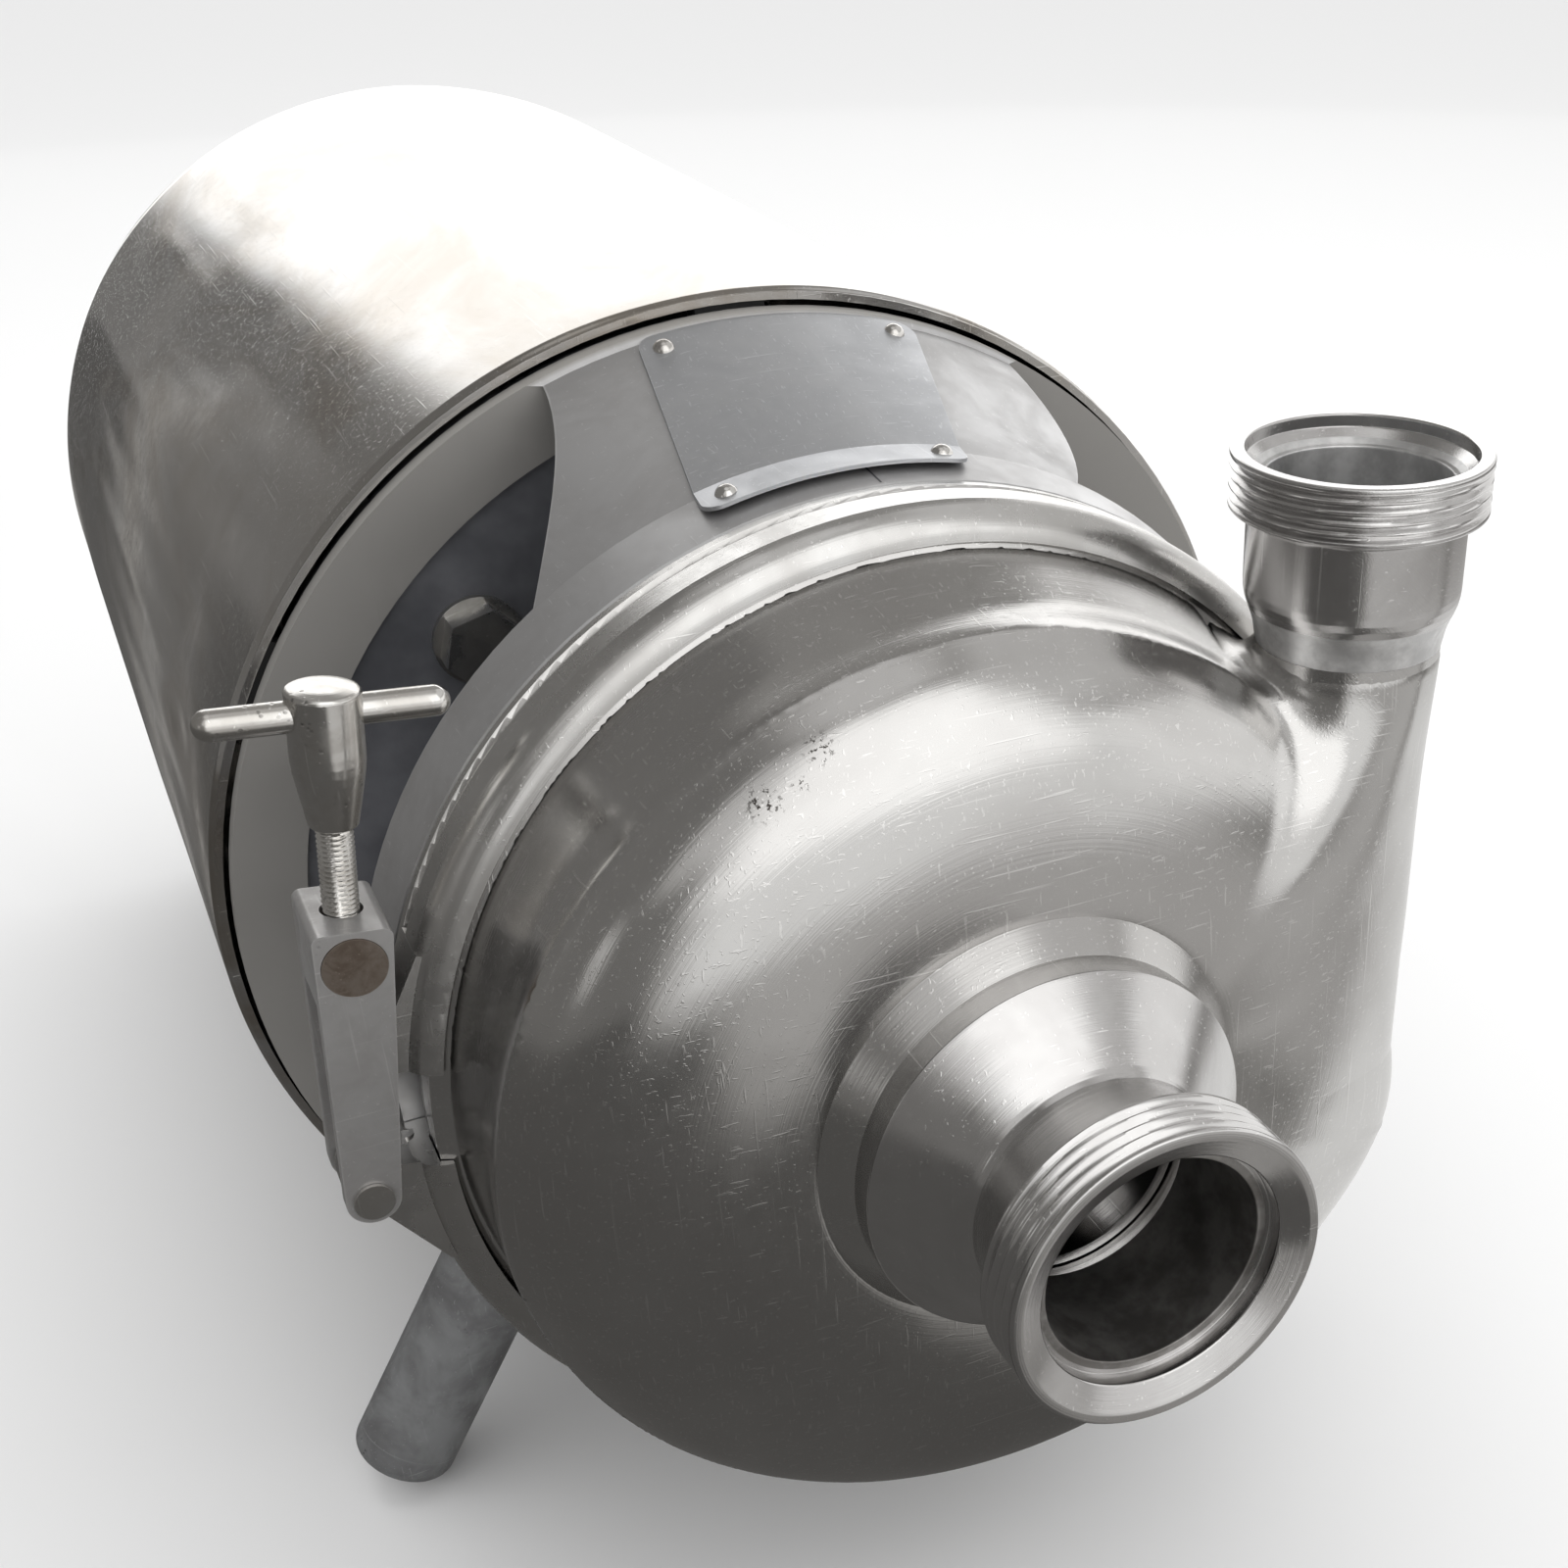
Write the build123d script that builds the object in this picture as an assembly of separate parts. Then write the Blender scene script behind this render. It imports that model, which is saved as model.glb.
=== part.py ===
from build123d import *
import os
from math import atan2, cos, degrees, pi, radians, sin, tan

# Sanitary centrifugal pump with a flange motor, all sizes in millimetres.
# The shaft axis is Y. Y = 0 is the face of the inlet union and +Y runs back to the motor.
# +Z is up and +X is the outlet side.

# Clearances and small edge sizes shared by many pieces
running_fit = 0.05
sliding_fit = 0.1
free_gap = 0.35
clamp_gap = 0.35
edge_break = 1.0
thread_runout = 1.5
cut_over = 1.0
weld_gap = 0.02
quarter_turn = 90.0
full_turn = 360.0
screw_head_width = 1.6
screw_head_height = 0.7
socket_width = 0.4

# Inlet union with round dairy thread
inlet_thread_d = 95.0
inlet_bore_d = 66.0
inlet_seat_d = 89.0
inlet_seat_depth = 4.0
inlet_groove_d = 74.0
inlet_groove_depth = 9.0
inlet_face_chamfer = 0.8
inlet_collar_length = 19.0
inlet_neck_d = 76.0
inlet_neck_length = 24.3
inlet_cone_length = 20.0
inlet_lip_step = 6.7

# Casing hub and volute
hub_d = 121.2
hub_land = 8.7
hub_chamfer_depth = 8.6
hub_chamfer_d = 136.0
casing_wall = 4.0
dome_center_r = 58.0
volute_front_depth = 35.4
volute_back_depth = 34.0
volute_inner_depth = 20.0
volute_start_r = 140.0
volute_growth = 32.0
volute_start_angle = 60.0
volute_full_angle = 300.0
volute_side_x = 156.5
volute_first_angles = (0, 30, 60, 90, 120, 150, 180)
volute_last_angles = (180, 210, 240, 265, 285, 300, 318, 335, 347, 360)
diffuser_shares = (0, 0.3, 0.55, 0.8, 1.0)
casing_open_d = 269.0
eye_recess_clearance = 0.7
eye_flat_d = 150.0
eye_flat_cut = 1.6

# Casing flange, seal joint and back plate
flange_d = 316.0
flank_root_d = 295.0
flank_rise = 5.0
casing_flange_thickness = 8.0
skirt_root_r = 139.0
gasket_d = 287.0
gasket_width = 4.0
gasket_depth = 2.0
back_plate_thickness = 8.0
back_plate_pilot = 3.5
pilot_clearance = 0.3

# Outlet union
outlet_x = 132.6
outlet_setback = 6.8
outlet_top_z = 172.2
outlet_thread_d = 78.0
outlet_face_chamfer = 0.8
outlet_collar_length = 17.2
outlet_seat_d = 69.0
outlet_seat_depth = 4.0
outlet_groove_d = 60.0
outlet_groove_depth = 8.0
outlet_bore_d = 56.0
outlet_neck_d = 66.4
outlet_neck_length = 27.0
outlet_contraction = 15.0
outlet_shoulder_rise = 7.0
outlet_shoulder_swell = 1.2
outlet_pipe_d = 57.4

# Impeller
impeller_d = 244.0
impeller_blades = 6
blade_thickness = 4.0
blade_inlet_angle = 28.0
blade_outlet_angle = 24.0
blade_inner_d = 84.0
blade_steps = 8
blade_edge_share = 0.35
blade_swell_share = 0.15
blade_swell_rate = 1.6
impeller_eye_d = 64.0
eye_ring_wall = 4.2
eye_lead = 6.3
front_shroud_thickness = 3.0
front_shroud_gap = 2.2
front_shroud_drop = 13.0
front_shroud_bow = 0.14
back_disc_thickness = 4.0
impeller_back_gap = 2.5
impeller_hub_d = 48.0
impeller_hub_bevel = 6.0
impeller_hub_flare = 9.0
impeller_hub_length = 34.0
impeller_nut_d = 34.0
impeller_nut_length = 30.0
nut_bore_depth = 18.0
nut_slots = 4
nut_slot_length = 6.0
nut_slot_width = 5.0
nut_slot_depth = 1.5
stub_nose_gap = 2.0

# Shaft and seal
stub_shaft_d = 28.0
stub_nose_d = 22.0
stub_thread_d = 16.0
rotary_ring_d = 41.0
rotary_ring_length = 6.0
rotary_recess = 2.0
stationary_ring_d = 42.0
stationary_ring_length = 12.0
seal_gap = 0.1
seal_bore_gap = 1.2
seal_cap_d = 70.0
seal_cap_depth = 14.0
seal_cap_floor = 3.0
seal_cap_flange = 6.0
seal_cap_wall = 3.5
seal_spring_wire = 1.6
seal_spring_turns = 2.5
seal_screw_circle = 60.0
seal_screw_d = 5.0
seal_screws = 3
slinger_d = 74.0
slinger_thickness = 3.0
slinger_hub_wall = 6.0
slinger_gap = 8.0
coupling_d = 64.0
coupling_gap = 7.0
coupling_length = 54.0
coupling_floor = 10.0
coupling_slit = 2.5
coupling_ring_d = 92.0
coupling_ring_width = 24.0
coupling_screw_d = 8.0
coupling_screw_offset = 38.5
coupling_inset = 3.0
coupling_head_d = 13.0
coupling_head_z = 6.0
coupling_screw_length = 24.0
coupling_slit_stop = 6.0

# Lantern between the casing joint and the motor
lantern_flange_thickness = 8.0
lantern_open_d = 260.0
lantern_neck_d = 296.0
band_start_gap = 5.3
band_d = 329.0
band_rear_d = 334.0
band_length = 24.2
band_wall = 8.0
bell_rear_d = 380.0
bell_length = 76.5
bell_relief = 1.0
bell_wall = 8.0
rear_ring_d = 384.4
rear_ring_bore_d = 338.0
rear_ring_thickness = 7.0
window_right_angles = (60.8, 57.5, 60.0)
window_left_angles = (54.7, 64.8, 69.4)
window_bottom_z = 88.0
window_corner_r = 14.0
window_front_gap = 0.5
ring_screws = 8
ring_screw_d = 8.0

# Nameplate carried by the top of the lantern
plate_angle = 29.0
plate_center_angle = 89.0
plate_lead = 15.0
plate_length = 91.8
plate_shift = 17.0
plate_thickness = 1.2
plate_corner_r = 6.0
plate_front_gap = 0.4
plate_rear_gap = 0.1
rivet_d = 7.0
rivet_height = 2.4
rivet_inset = 7.5

# Clamp ring
clamp_outer_d = 330.0
clamp_lip_d = 309.4
clamp_lip_width = 1.6
clamp_shoulder = 8.5
clamp_cove_depth = 2.4
clamp_cove_width = 6.0
clamp_bead_width = 3.0
clamp_bead_d = 328.6
clamp_bulge = 2.6
clamp_bulge_rise = 3.6
clamp_upper_end = 171.2
clamp_lower_start = 179.0
clamp_split_angle = 3.0
clamp_hang_angle = 1.7
hinge_reach = 11.0
knuckle_d = 17.0
hinge_pin_d = 8.0
hinge_pin_head = 3.0
hinge_head_lip = 2.0
knuckle_root_angle = 11.0
knuckle_embed = 4.0
knuckle_slant = 45.0
lug_thickness = 18.0
lug_tip_gap = 4.0
lug_depth = 14.0
lug_side = 0.75
lug_embed = 5.0
lug_root_angle = 13.0
lug_eye_wall = 3.0

# Clamp link and screw, measured along the link from its pivot
pivot_reach = 13.7
pivot_drop = 11.0
link_lean = 6.4
link_depth = 30.0
link_slot = 19.0
link_top = 88.0
link_block_start = 64.0
link_top_width = 21.5
link_bottom_width = 15.6
link_corner_r = 2.5
pivot_pin_d = 8.0
pivot_head_d = 11.6
pivot_head_height = 1.2
pivot_head_seat = 0.2
nut_station = 77.3
barrel_nut_d = 17.6
barrel_nut_proud = 0.4
screw_d = 10.0
rod_hole_d = 11.6
tip_station = 59.0
tip_d = 8.0
tip_length = 7.0
tip_cone_share = 1 / 3
tip_stem_d = 4.0
tip_stem_length = 4.0
hub_bottom_station = 113.5
hub_taper_length = 18.0
screw_hub_d = 19.6
screw_hub_length = 21.0
screw_hub_neck_d = 13.0
bar_d = 8.6
bar_length = 65.5
bar_drop = 7.0
bar_turn = 4.0
screw_hub_bevel = 0.8

# Motor behind the lantern
motor_flange_d = 378.0
motor_flange_thickness = 12.0
motor_spigot_height = 3.5
motor_spigot_gap = 0.5
motor_face_step_d = 236.0
motor_face_step = 4.0
motor_hub_d = 96.0
motor_hub_step = 4.0
motor_draft = 3.0
register_gap = 0.3
register_depth = 5.0
flange_bolt_circle = 278.0
ring_screw_inset = 8.5
flange_bolt_angle = 45.0
flange_bolts = 4
flange_bolt_d = 16.0
flange_bolt_flats = 24.0
flange_bolt_head = 10.0
flange_washer_d = 30.0
flange_washer = 2.5
motor_shaft_d = 38.0
motor_frame_d = 300.0
motor_frame_length = 312.0
frame_root_d = 268.0
frame_bore_d = 232.0
frame_fins = 28
frame_fin_thickness = 3.0
frame_saddle_width = 60.0
front_saddle_width = 20.0
stator_bore_d = 152.0
stator_length = 190.0
rotor_air_gap = 0.6
rotor_seat_d = 48.0
rotor_ring_inset = 6.0
rotor_ring_width = 18.0
end_shield_thickness = 14.0
bearing_d = 80.0
bearing_width = 18.0
bearing_seat_wall = 8.0
bearing_lip = 2.0
bearing_ring_wall = 6.0
bearing_groove = 2.2
bearing_balls = 9
fan_d = 220.0
fan_hub_d = 60.0
fan_width = 40.0
fan_disc = 4.0
fan_gap = 12.0
fan_blades = 8
fan_blade_thickness = 4.0
terminal_box_width = 90.0
terminal_box_length = 110.0
terminal_box_height = 34.0
terminal_box_start = 40.0
terminal_lid = 4.0
terminal_lid_lip = 2.0
terminal_embed = 4.0
terminal_corner_r = 8.0
terminal_fin_gap = 22.0

# Shroud over the motor
shroud_wall = 2.5
pad_thickness = 4.9
shroud_start_gap = 0.8
shroud_length = 512.0
pad_count = 6
pad_width = 24.0
pad_length = 8.0
rear_cover_wall = 3.0
rear_cover_dish = 10.0
rear_cover_rim = 16.0
rear_cover_margin = 28.9
vent_slots = 24
vent_margin = 35.0
vent_length = 65.0
vent_width = 7.0
cover_stud_d = 8.0
cover_stud_circle = 282.0
cover_studs = 4
cap_nut_d = 16.0
cap_nut_height = 10.0
cap_nut_flats = 13.6
cap_nut_round = 3.5
gland_flats = 22.0
gland_thread_d = 20.0
gland_length = 22.0
gland_hexagon_share = 1 / 3
gland_margin = 18.0
gland_angle = 290.0
gland_bore_d = 13.0

# Legs
floor_z = -217.0
leg_tube_d = 38.0
leg_tube_wall = 3.0
leg_splay = 31.8
front_foot_inset = 7.0
front_leg_setback = 54.0
rear_foot_inset = 38.0
foot_cap_length = 12.0
foot_round_r = 7.0
leg_hole_gap = 2.0
leg_reach = 150.0
leg_seat_margin = 2.0

# Stations along the shaft
neck_end_y = inlet_collar_length + inlet_neck_length
hub_y = neck_end_y + inlet_cone_length
inlet_lip_y = neck_end_y + inlet_lip_step
dome_y = hub_y + hub_land + hub_chamfer_depth
volute_y = dome_y + volute_front_depth
outlet_y = volute_y + outlet_setback
flange_y = volute_y + volute_back_depth
joint_y = flange_y + casing_flange_thickness
plate_back_y = joint_y + back_plate_thickness
lantern_neck_y = plate_back_y + lantern_flange_thickness
band_y = lantern_neck_y + band_start_gap
bell_y = band_y + band_length
rear_ring_y = bell_y + bell_length + bell_relief
motor_y = rear_ring_y + rear_ring_thickness
frame_y = motor_y + motor_flange_thickness
shield_y = frame_y + motor_frame_length
shroud_y = motor_y + shroud_start_gap
ring_screw_r = motor_flange_d / 2 - ring_screw_inset
shroud_bore_r = motor_flange_d / 2 + pad_thickness
shroud_d = 2 * (shroud_bore_r + shroud_wall)
rear_dish_r = shroud_bore_r - rear_cover_margin
vent_outer_r = rear_dish_r - vent_margin
gland_r = rear_dish_r - gland_margin
shroud_end = shroud_y + shroud_length
impeller_back_y = joint_y - back_plate_pilot - impeller_back_gap
eye_y = hub_y - eye_lead
pipe_top_z = outlet_top_z - outlet_collar_length - outlet_neck_length - outlet_contraction
flank_slope = flank_rise / (flange_d / 2 - flank_root_d / 2)
rear_flank_slope = flank_rise / (flange_d / 2 - lantern_neck_d / 2)
clamp_lip_y = flange_y + flank_slope * (clamp_lip_d - flank_root_d) / 2 - clamp_gap
clamp_front_y = clamp_lip_y - clamp_lip_width
clamp_back_y = band_y - free_gap
clamp_mid_y = (clamp_front_y + clamp_back_y) / 2
recess_r = impeller_eye_d / 2 + eye_ring_wall + eye_recess_clearance
eye_flat_y = dome_y + casing_wall + eye_flat_cut
front_bearing_y = frame_y - bearing_lip
rear_bearing_y = shield_y - bearing_width + bearing_lip
core_y = (frame_y + shield_y - stator_length) / 2
fan_y = shield_y + end_shield_thickness + fan_gap
cover_face_y = shroud_end - rear_cover_rim + rear_cover_dish + rear_cover_wall
rotary_start = impeller_back_y - rotary_recess
stationary_start = rotary_start + rotary_ring_length + seal_gap
seal_cap_back = plate_back_y + seal_cap_depth
slinger_y = seal_cap_back + slinger_gap
slinger_end = slinger_y + slinger_thickness * 3
coupling_start = slinger_end + coupling_gap
coupling_end = coupling_start + coupling_length
plate_start = bell_y - plate_lead
plate_end = plate_start + plate_length
hinge_x = clamp_outer_d / 2 + hinge_reach
pivot_x = -clamp_outer_d / 2 - pivot_reach
pivot_z = -pivot_drop
front_leg_x = bell_rear_d / 2 - front_foot_inset
front_leg_y = bell_y + front_leg_setback
rear_leg_x = motor_frame_d / 2 - rear_foot_inset


on_base = (Align.CENTER, Align.CENTER, Align.MIN)
from_top = (Align.CENTER, Align.CENTER, Align.MAX)


def outline(points):
    """Flat face inside a closed run of straight lines."""
    return make_face(Polyline(*points, close=True))


def turned(points, arc=360.0):
    """Solid of revolution about the shaft axis from (radius, station) points."""
    return revolve(outline(points), Axis.Y, arc)


def tube(outer_d, inner_d, start, end):
    """Plain ring about the shaft axis."""
    outer_r = outer_d / 2
    inner_r = inner_d / 2
    if inner_r <= 0:
        return turned([(0, start), (outer_r, start), (outer_r, end), (0, end)])
    return turned([(inner_r, start), (outer_r, start), (outer_r, end), (inner_r, end)])


def at_angle(shape, angle):
    """Turn a shape made on the +X side round the shaft, anticlockwise seen from the inlet."""
    return Rot(0, -angle, 0) * shape


def along_y(diameter, start, end):
    """Cylinder along Y through the frame's origin."""
    return Pos(0, (start + end) / 2, 0) * Rot(90, 0, 0) * Cylinder(diameter / 2, end - start)


def hexagon_head(flats, height):
    """Hexagonal prism standing on the XY plane."""
    return extrude(RegularPolygon(flats / 2, 6, major_radius=False), height)


def screw_head(diameter):
    """Hexagon head that stands towards +Y."""
    head = hexagon_head(diameter * screw_head_width, diameter * screw_head_height)
    return Rot(-90, 0, 0) * head


def save(name, shape):
    """Write one node."""
    shape.label = name
    export_step(shape, os.path.join("parts", name + ".step"))


def inlet_union():
    thread_r = inlet_thread_d / 2
    seat_r = inlet_seat_d / 2
    groove_r = inlet_groove_d / 2
    bore_r = inlet_bore_d / 2
    neck_r = inlet_neck_d / 2
    return turned([
        (seat_r, 0), (thread_r - inlet_face_chamfer, 0), (thread_r, inlet_face_chamfer),
        (thread_r, inlet_collar_length), (neck_r, inlet_collar_length + thread_runout), (neck_r, neck_end_y),
        (hub_d / 2, hub_y), (recess_r, hub_y), (recess_r, inlet_lip_y), (bore_r, inlet_lip_y),
        (bore_r, inlet_groove_depth), (groove_r, inlet_groove_depth), (groove_r, inlet_seat_depth),
    ])


def volute_radius(angle):
    """Outer radius of the volute at an angle from +X, following the spiral to the outlet side."""
    share = (angle - volute_start_angle) / (volute_full_angle - volute_start_angle)
    share = min(max(share, 0.0), 1.0)
    spiral = volute_start_r + volute_growth * share * share
    if angle > volute_full_angle:
        return min(spiral, volute_side_x / cos(radians(angle)))
    return spiral


def egg_face(center_r, outer_r, inner_depth, center_y, front, back):
    """Section of four quarter ellipses in the XY plane."""
    reach = outer_r - center_r
    center = (center_r, center_y)
    arcs = [
        EllipticalCenterArc(center, reach, front, 3 * quarter_turn, arc_size=quarter_turn),
        EllipticalCenterArc(center, reach, back, 0, arc_size=quarter_turn),
        EllipticalCenterArc(center, inner_depth, back, quarter_turn, arc_size=quarter_turn),
        EllipticalCenterArc(center, inner_depth, front, 2 * quarter_turn, arc_size=quarter_turn),
    ]
    return make_face(Curve() + arcs)


def volute_section(angle, wall):
    """Section of the volute through the shaft axis, drawn in by a wall thickness."""
    face = egg_face(dome_center_r, volute_radius(angle) - wall, volute_inner_depth - wall, volute_y,
                    volute_front_depth - wall, volute_back_depth - wall)
    return at_angle(face, angle)


def diffuser_section(share, wall):
    """Level section of the outlet diffuser between the volute's end and the round pipe."""
    blend = share * share * (3 - 2 * share)
    pipe_r = outlet_pipe_d / 2

    def mix(first, last):
        return first + (last - first) * blend

    side = volute_side_x + (outlet_x + pipe_r - volute_side_x) * share
    center_r = mix(dome_center_r, outlet_x)
    face = egg_face(center_r, side - wall, mix(volute_inner_depth, pipe_r) - wall,
                    mix(volute_y, outlet_y), mix(volute_front_depth, pipe_r) - wall,
                    mix(volute_back_depth, pipe_r) - wall)
    return Pos(0, 0, pipe_top_z * share) * face


def volute_body(wall):
    """Volute and diffuser as one form, drawn in by a wall thickness."""
    first_half = loft([volute_section(angle, wall) for angle in volute_first_angles])
    second_half = loft([volute_section(angle, wall) for angle in volute_last_angles])
    diffuser = loft([diffuser_section(share, wall) for share in diffuser_shares])
    return first_half + second_half + diffuser


def casing_core():
    """Turned parts of the casing that the volute grows from."""
    slope = (hub_chamfer_d - hub_d) / 2 / hub_chamfer_depth
    deep = hub_chamfer_depth * 2
    hub = turned([
        (recess_r, hub_y), (hub_d / 2, hub_y), (hub_d / 2, hub_y + hub_land),
        (hub_d / 2 + slope * deep, hub_y + hub_land + deep), (hub_d / 2 + slope * deep, volute_y),
        (recess_r, volute_y),
    ])
    rim_r = casing_open_d / 2 - cut_over
    rim = turned([
        (rim_r, volute_y + casing_wall), (skirt_root_r, volute_y), (flank_root_d / 2, flange_y),
        (flange_d / 2, flange_y + flank_rise), (flange_d / 2, joint_y), (rim_r, joint_y),
    ])
    return hub + rim


def pump_casing():
    solid = volute_body(0) + casing_core()
    solid -= volute_body(casing_wall)
    solid -= tube(casing_open_d, 0, volute_y, joint_y + cut_over)
    solid -= tube(eye_flat_d, 0, eye_flat_y, joint_y)
    solid -= tube(recess_r * 2, 0, hub_y - cut_over, joint_y)
    groove_start = joint_y - gasket_depth
    return solid - tube(gasket_d + gasket_width, gasket_d - gasket_width, groove_start, joint_y + cut_over)


def outlet_union():
    top = outlet_top_z
    thread_r = outlet_thread_d / 2
    seat_r = outlet_seat_d / 2
    groove_r = outlet_groove_d / 2
    bore_r = outlet_bore_d / 2
    neck_r = outlet_neck_d / 2
    pipe_r = outlet_pipe_d / 2
    collar_z = top - outlet_collar_length
    neck_z = collar_z - outlet_neck_length
    shoulder_z = pipe_top_z + outlet_shoulder_rise
    groove_z = top - outlet_groove_depth
    profile = outline([
        (seat_r, top), (thread_r - outlet_face_chamfer, top), (thread_r, top - outlet_face_chamfer),
        (thread_r, collar_z), (neck_r, collar_z - thread_runout), (neck_r, neck_z),
        (pipe_r + outlet_shoulder_swell, shoulder_z), (pipe_r, pipe_top_z),
        (pipe_r - casing_wall, pipe_top_z), (pipe_r - casing_wall, shoulder_z), (bore_r, neck_z),
        (bore_r, groove_z), (groove_r, groove_z),
        (groove_r, top - outlet_seat_depth),
    ])
    upright = revolve(Plane.XZ * profile, Axis.Z, 360)
    return Pos(outlet_x, outlet_y, 0) * upright


def casing_gasket():
    return tube(gasket_d + gasket_width, gasket_d - gasket_width, joint_y - gasket_depth, joint_y)


def back_plate():
    pilot_r = casing_open_d / 2 - pilot_clearance
    pilot_y = joint_y - back_plate_pilot
    ring_clear = rotary_ring_d / 2 + seal_bore_gap
    ring_fit = stationary_ring_d / 2 + sliding_fit
    step_y = stationary_start - edge_break
    flange_r = flange_d / 2
    return turned([
        (ring_clear, pilot_y), (pilot_r - edge_break, pilot_y), (pilot_r, pilot_y + edge_break),
        (pilot_r, joint_y), (flange_r, joint_y), (flange_r, plate_back_y), (ring_fit, plate_back_y),
        (ring_fit, step_y), (ring_clear, step_y),
    ])


def seal_cap():
    bore_r = stub_shaft_d / 2 + seal_bore_gap
    fit_r = stationary_ring_d / 2 + sliding_fit
    floor_y = seal_cap_back - seal_cap_floor
    outer_r = seal_cap_d / 2
    wall_r = fit_r + seal_cap_wall
    flange_back = plate_back_y + seal_cap_flange
    return turned([
        (fit_r, plate_back_y), (outer_r, plate_back_y), (outer_r, flange_back), (wall_r, flange_back),
        (wall_r, seal_cap_back - edge_break), (wall_r - edge_break, seal_cap_back), (bore_r, seal_cap_back),
        (bore_r, floor_y), (fit_r, floor_y),
    ])


def seal_cap_screws():
    head_y = plate_back_y + seal_cap_flange
    screws = []
    for index in range(seal_screws):
        placed = Pos(seal_screw_circle / 2, head_y, 0) * screw_head(seal_screw_d)
        screws.append(at_angle(placed, quarter_turn + index * full_turn / seal_screws))
    return Compound(screws)


def stationary_seal_ring():
    start = stationary_start
    bore_d = stub_shaft_d + 2 * seal_bore_gap
    return tube(stationary_ring_d, bore_d, start, start + stationary_ring_length)


def seal_spring():
    """Open wave coil between the stationary ring and the cap's floor."""
    start = stationary_start + stationary_ring_length
    end = seal_cap_back - seal_cap_floor
    wire_r = seal_spring_wire / 2
    mean_r = (stationary_ring_d + stub_shaft_d) / 4
    travel = end - start - seal_spring_wire
    path = Helix(travel / seal_spring_turns, travel, mean_r)
    section = Plane(path @ 0, z_dir=path % 0) * Circle(wire_r)
    coil = sweep(section, path=path, is_frenet=True)
    return Pos(0, end - wire_r, 0) * Rot(90, 0, 0) * coil


def impeller_front_line():
    """Front shroud's outer face as (radius, station) points, behind the casing's inner front."""
    ring_r = impeller_eye_d / 2 + eye_ring_wall
    start_y = eye_flat_y + front_shroud_gap
    rim_y = start_y + front_shroud_drop
    middle_r = (ring_r + impeller_d / 2) / 2
    middle_y = start_y + front_shroud_drop * front_shroud_bow
    return [(ring_r, start_y), (middle_r, middle_y), (impeller_d / 2, rim_y)]


def impeller_blade():
    """One backward swept blade between an inner and an outer radius, its angle easing outwards."""
    inner_r = blade_inner_d / 2
    outer_r = impeller_d / 2
    wrap = 0.0
    pressure = []
    suction = []
    previous_r = inner_r
    for index in range(blade_steps + 1):
        share = index / blade_steps
        radius = inner_r + (outer_r - inner_r) * share
        angle = blade_inlet_angle + (blade_outlet_angle - blade_inlet_angle) * share
        wrap += (radius - previous_r) / (radius * tan(radians(angle)))
        previous_r = radius
        swell = blade_swell_share * sin(pi * min(1.0, share * blade_swell_rate))
        half = blade_thickness * (blade_edge_share + swell) / (radius * sin(radians(angle)))
        pressure.append((radius * cos(wrap + half), radius * sin(wrap + half)))
        suction.append((radius * cos(wrap - half), radius * sin(wrap - half)))
    sides = [Spline(*pressure), Line(pressure[-1], suction[-1]), Spline(*suction)]
    face = make_face(Curve() + sides + [Line(suction[0], pressure[0])])
    front_y = impeller_front_line()[0][1]
    prism = extrude(face, impeller_back_y - front_y)
    return Pos(0, impeller_back_y, 0) * Rot(90, 0, 0) * prism


def impeller():
    line = impeller_front_line()
    rim_r = impeller_d / 2
    ring_r = impeller_eye_d / 2 + eye_ring_wall
    eye_r = impeller_eye_d / 2
    thick = front_shroud_thickness
    disc_y = impeller_back_y - back_disc_thickness
    shroud = turned([
        (eye_r, eye_y), (ring_r - edge_break, eye_y), (ring_r, eye_y + edge_break), *line,
        (rim_r, line[2][1] + thick), (line[1][0], line[1][1] + thick), (eye_r, line[0][1] + thick),
    ])
    hub_r = impeller_hub_d / 2
    seat_r = rotary_ring_d / 2 + sliding_fit
    bore_r = stub_nose_d / 2 + running_fit
    hub_y0 = impeller_back_y - impeller_hub_length
    disc = turned([
        (bore_r, hub_y0), (hub_r - impeller_hub_bevel, hub_y0), (hub_r, hub_y0 + impeller_hub_bevel),
        (hub_r, disc_y - impeller_hub_flare), (hub_r + impeller_hub_flare, disc_y), (rim_r, disc_y),
        (rim_r, impeller_back_y), (seat_r, impeller_back_y), (seat_r, rotary_start), (bore_r, rotary_start),
    ])
    passage = turned([
        (hub_r - thick, line[0][1] + thick / 2), (line[1][0], line[1][1] + thick / 2),
        (rim_r, line[2][1] + thick / 2), (rim_r, disc_y + thick / 2), (hub_r - thick, disc_y + thick / 2),
    ])
    blade = impeller_blade() & passage
    wheel = shroud + disc
    for index in range(impeller_blades):
        wheel += at_angle(blade, index * full_turn / impeller_blades)
    return wheel


def impeller_nut():
    end = impeller_back_y - impeller_hub_length
    start = end - impeller_nut_length
    nut_r = impeller_nut_d / 2
    bore_r = stub_thread_d / 2 + running_fit
    bore_y = end - nut_bore_depth
    dome = CenterArc((0, start + nut_r), nut_r, -quarter_turn, quarter_turn)
    edges = [
        dome, Line((nut_r, start + nut_r), (nut_r, end)), Line((nut_r, end), (bore_r, end)),
        Line((bore_r, end), (bore_r, bore_y)), Line((bore_r, bore_y), (0, bore_y)),
        Line((0, bore_y), (0, start)),
    ]
    body = revolve(make_face(Curve() + edges), Axis.Y, 360)
    slot = Box(nut_slot_depth * 2, nut_slot_length, nut_slot_width)
    slot = Pos(nut_r, end - nut_slot_length / 2, 0) * slot
    for index in range(nut_slots):
        body -= at_angle(slot, index * full_turn / nut_slots)
    return body


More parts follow.
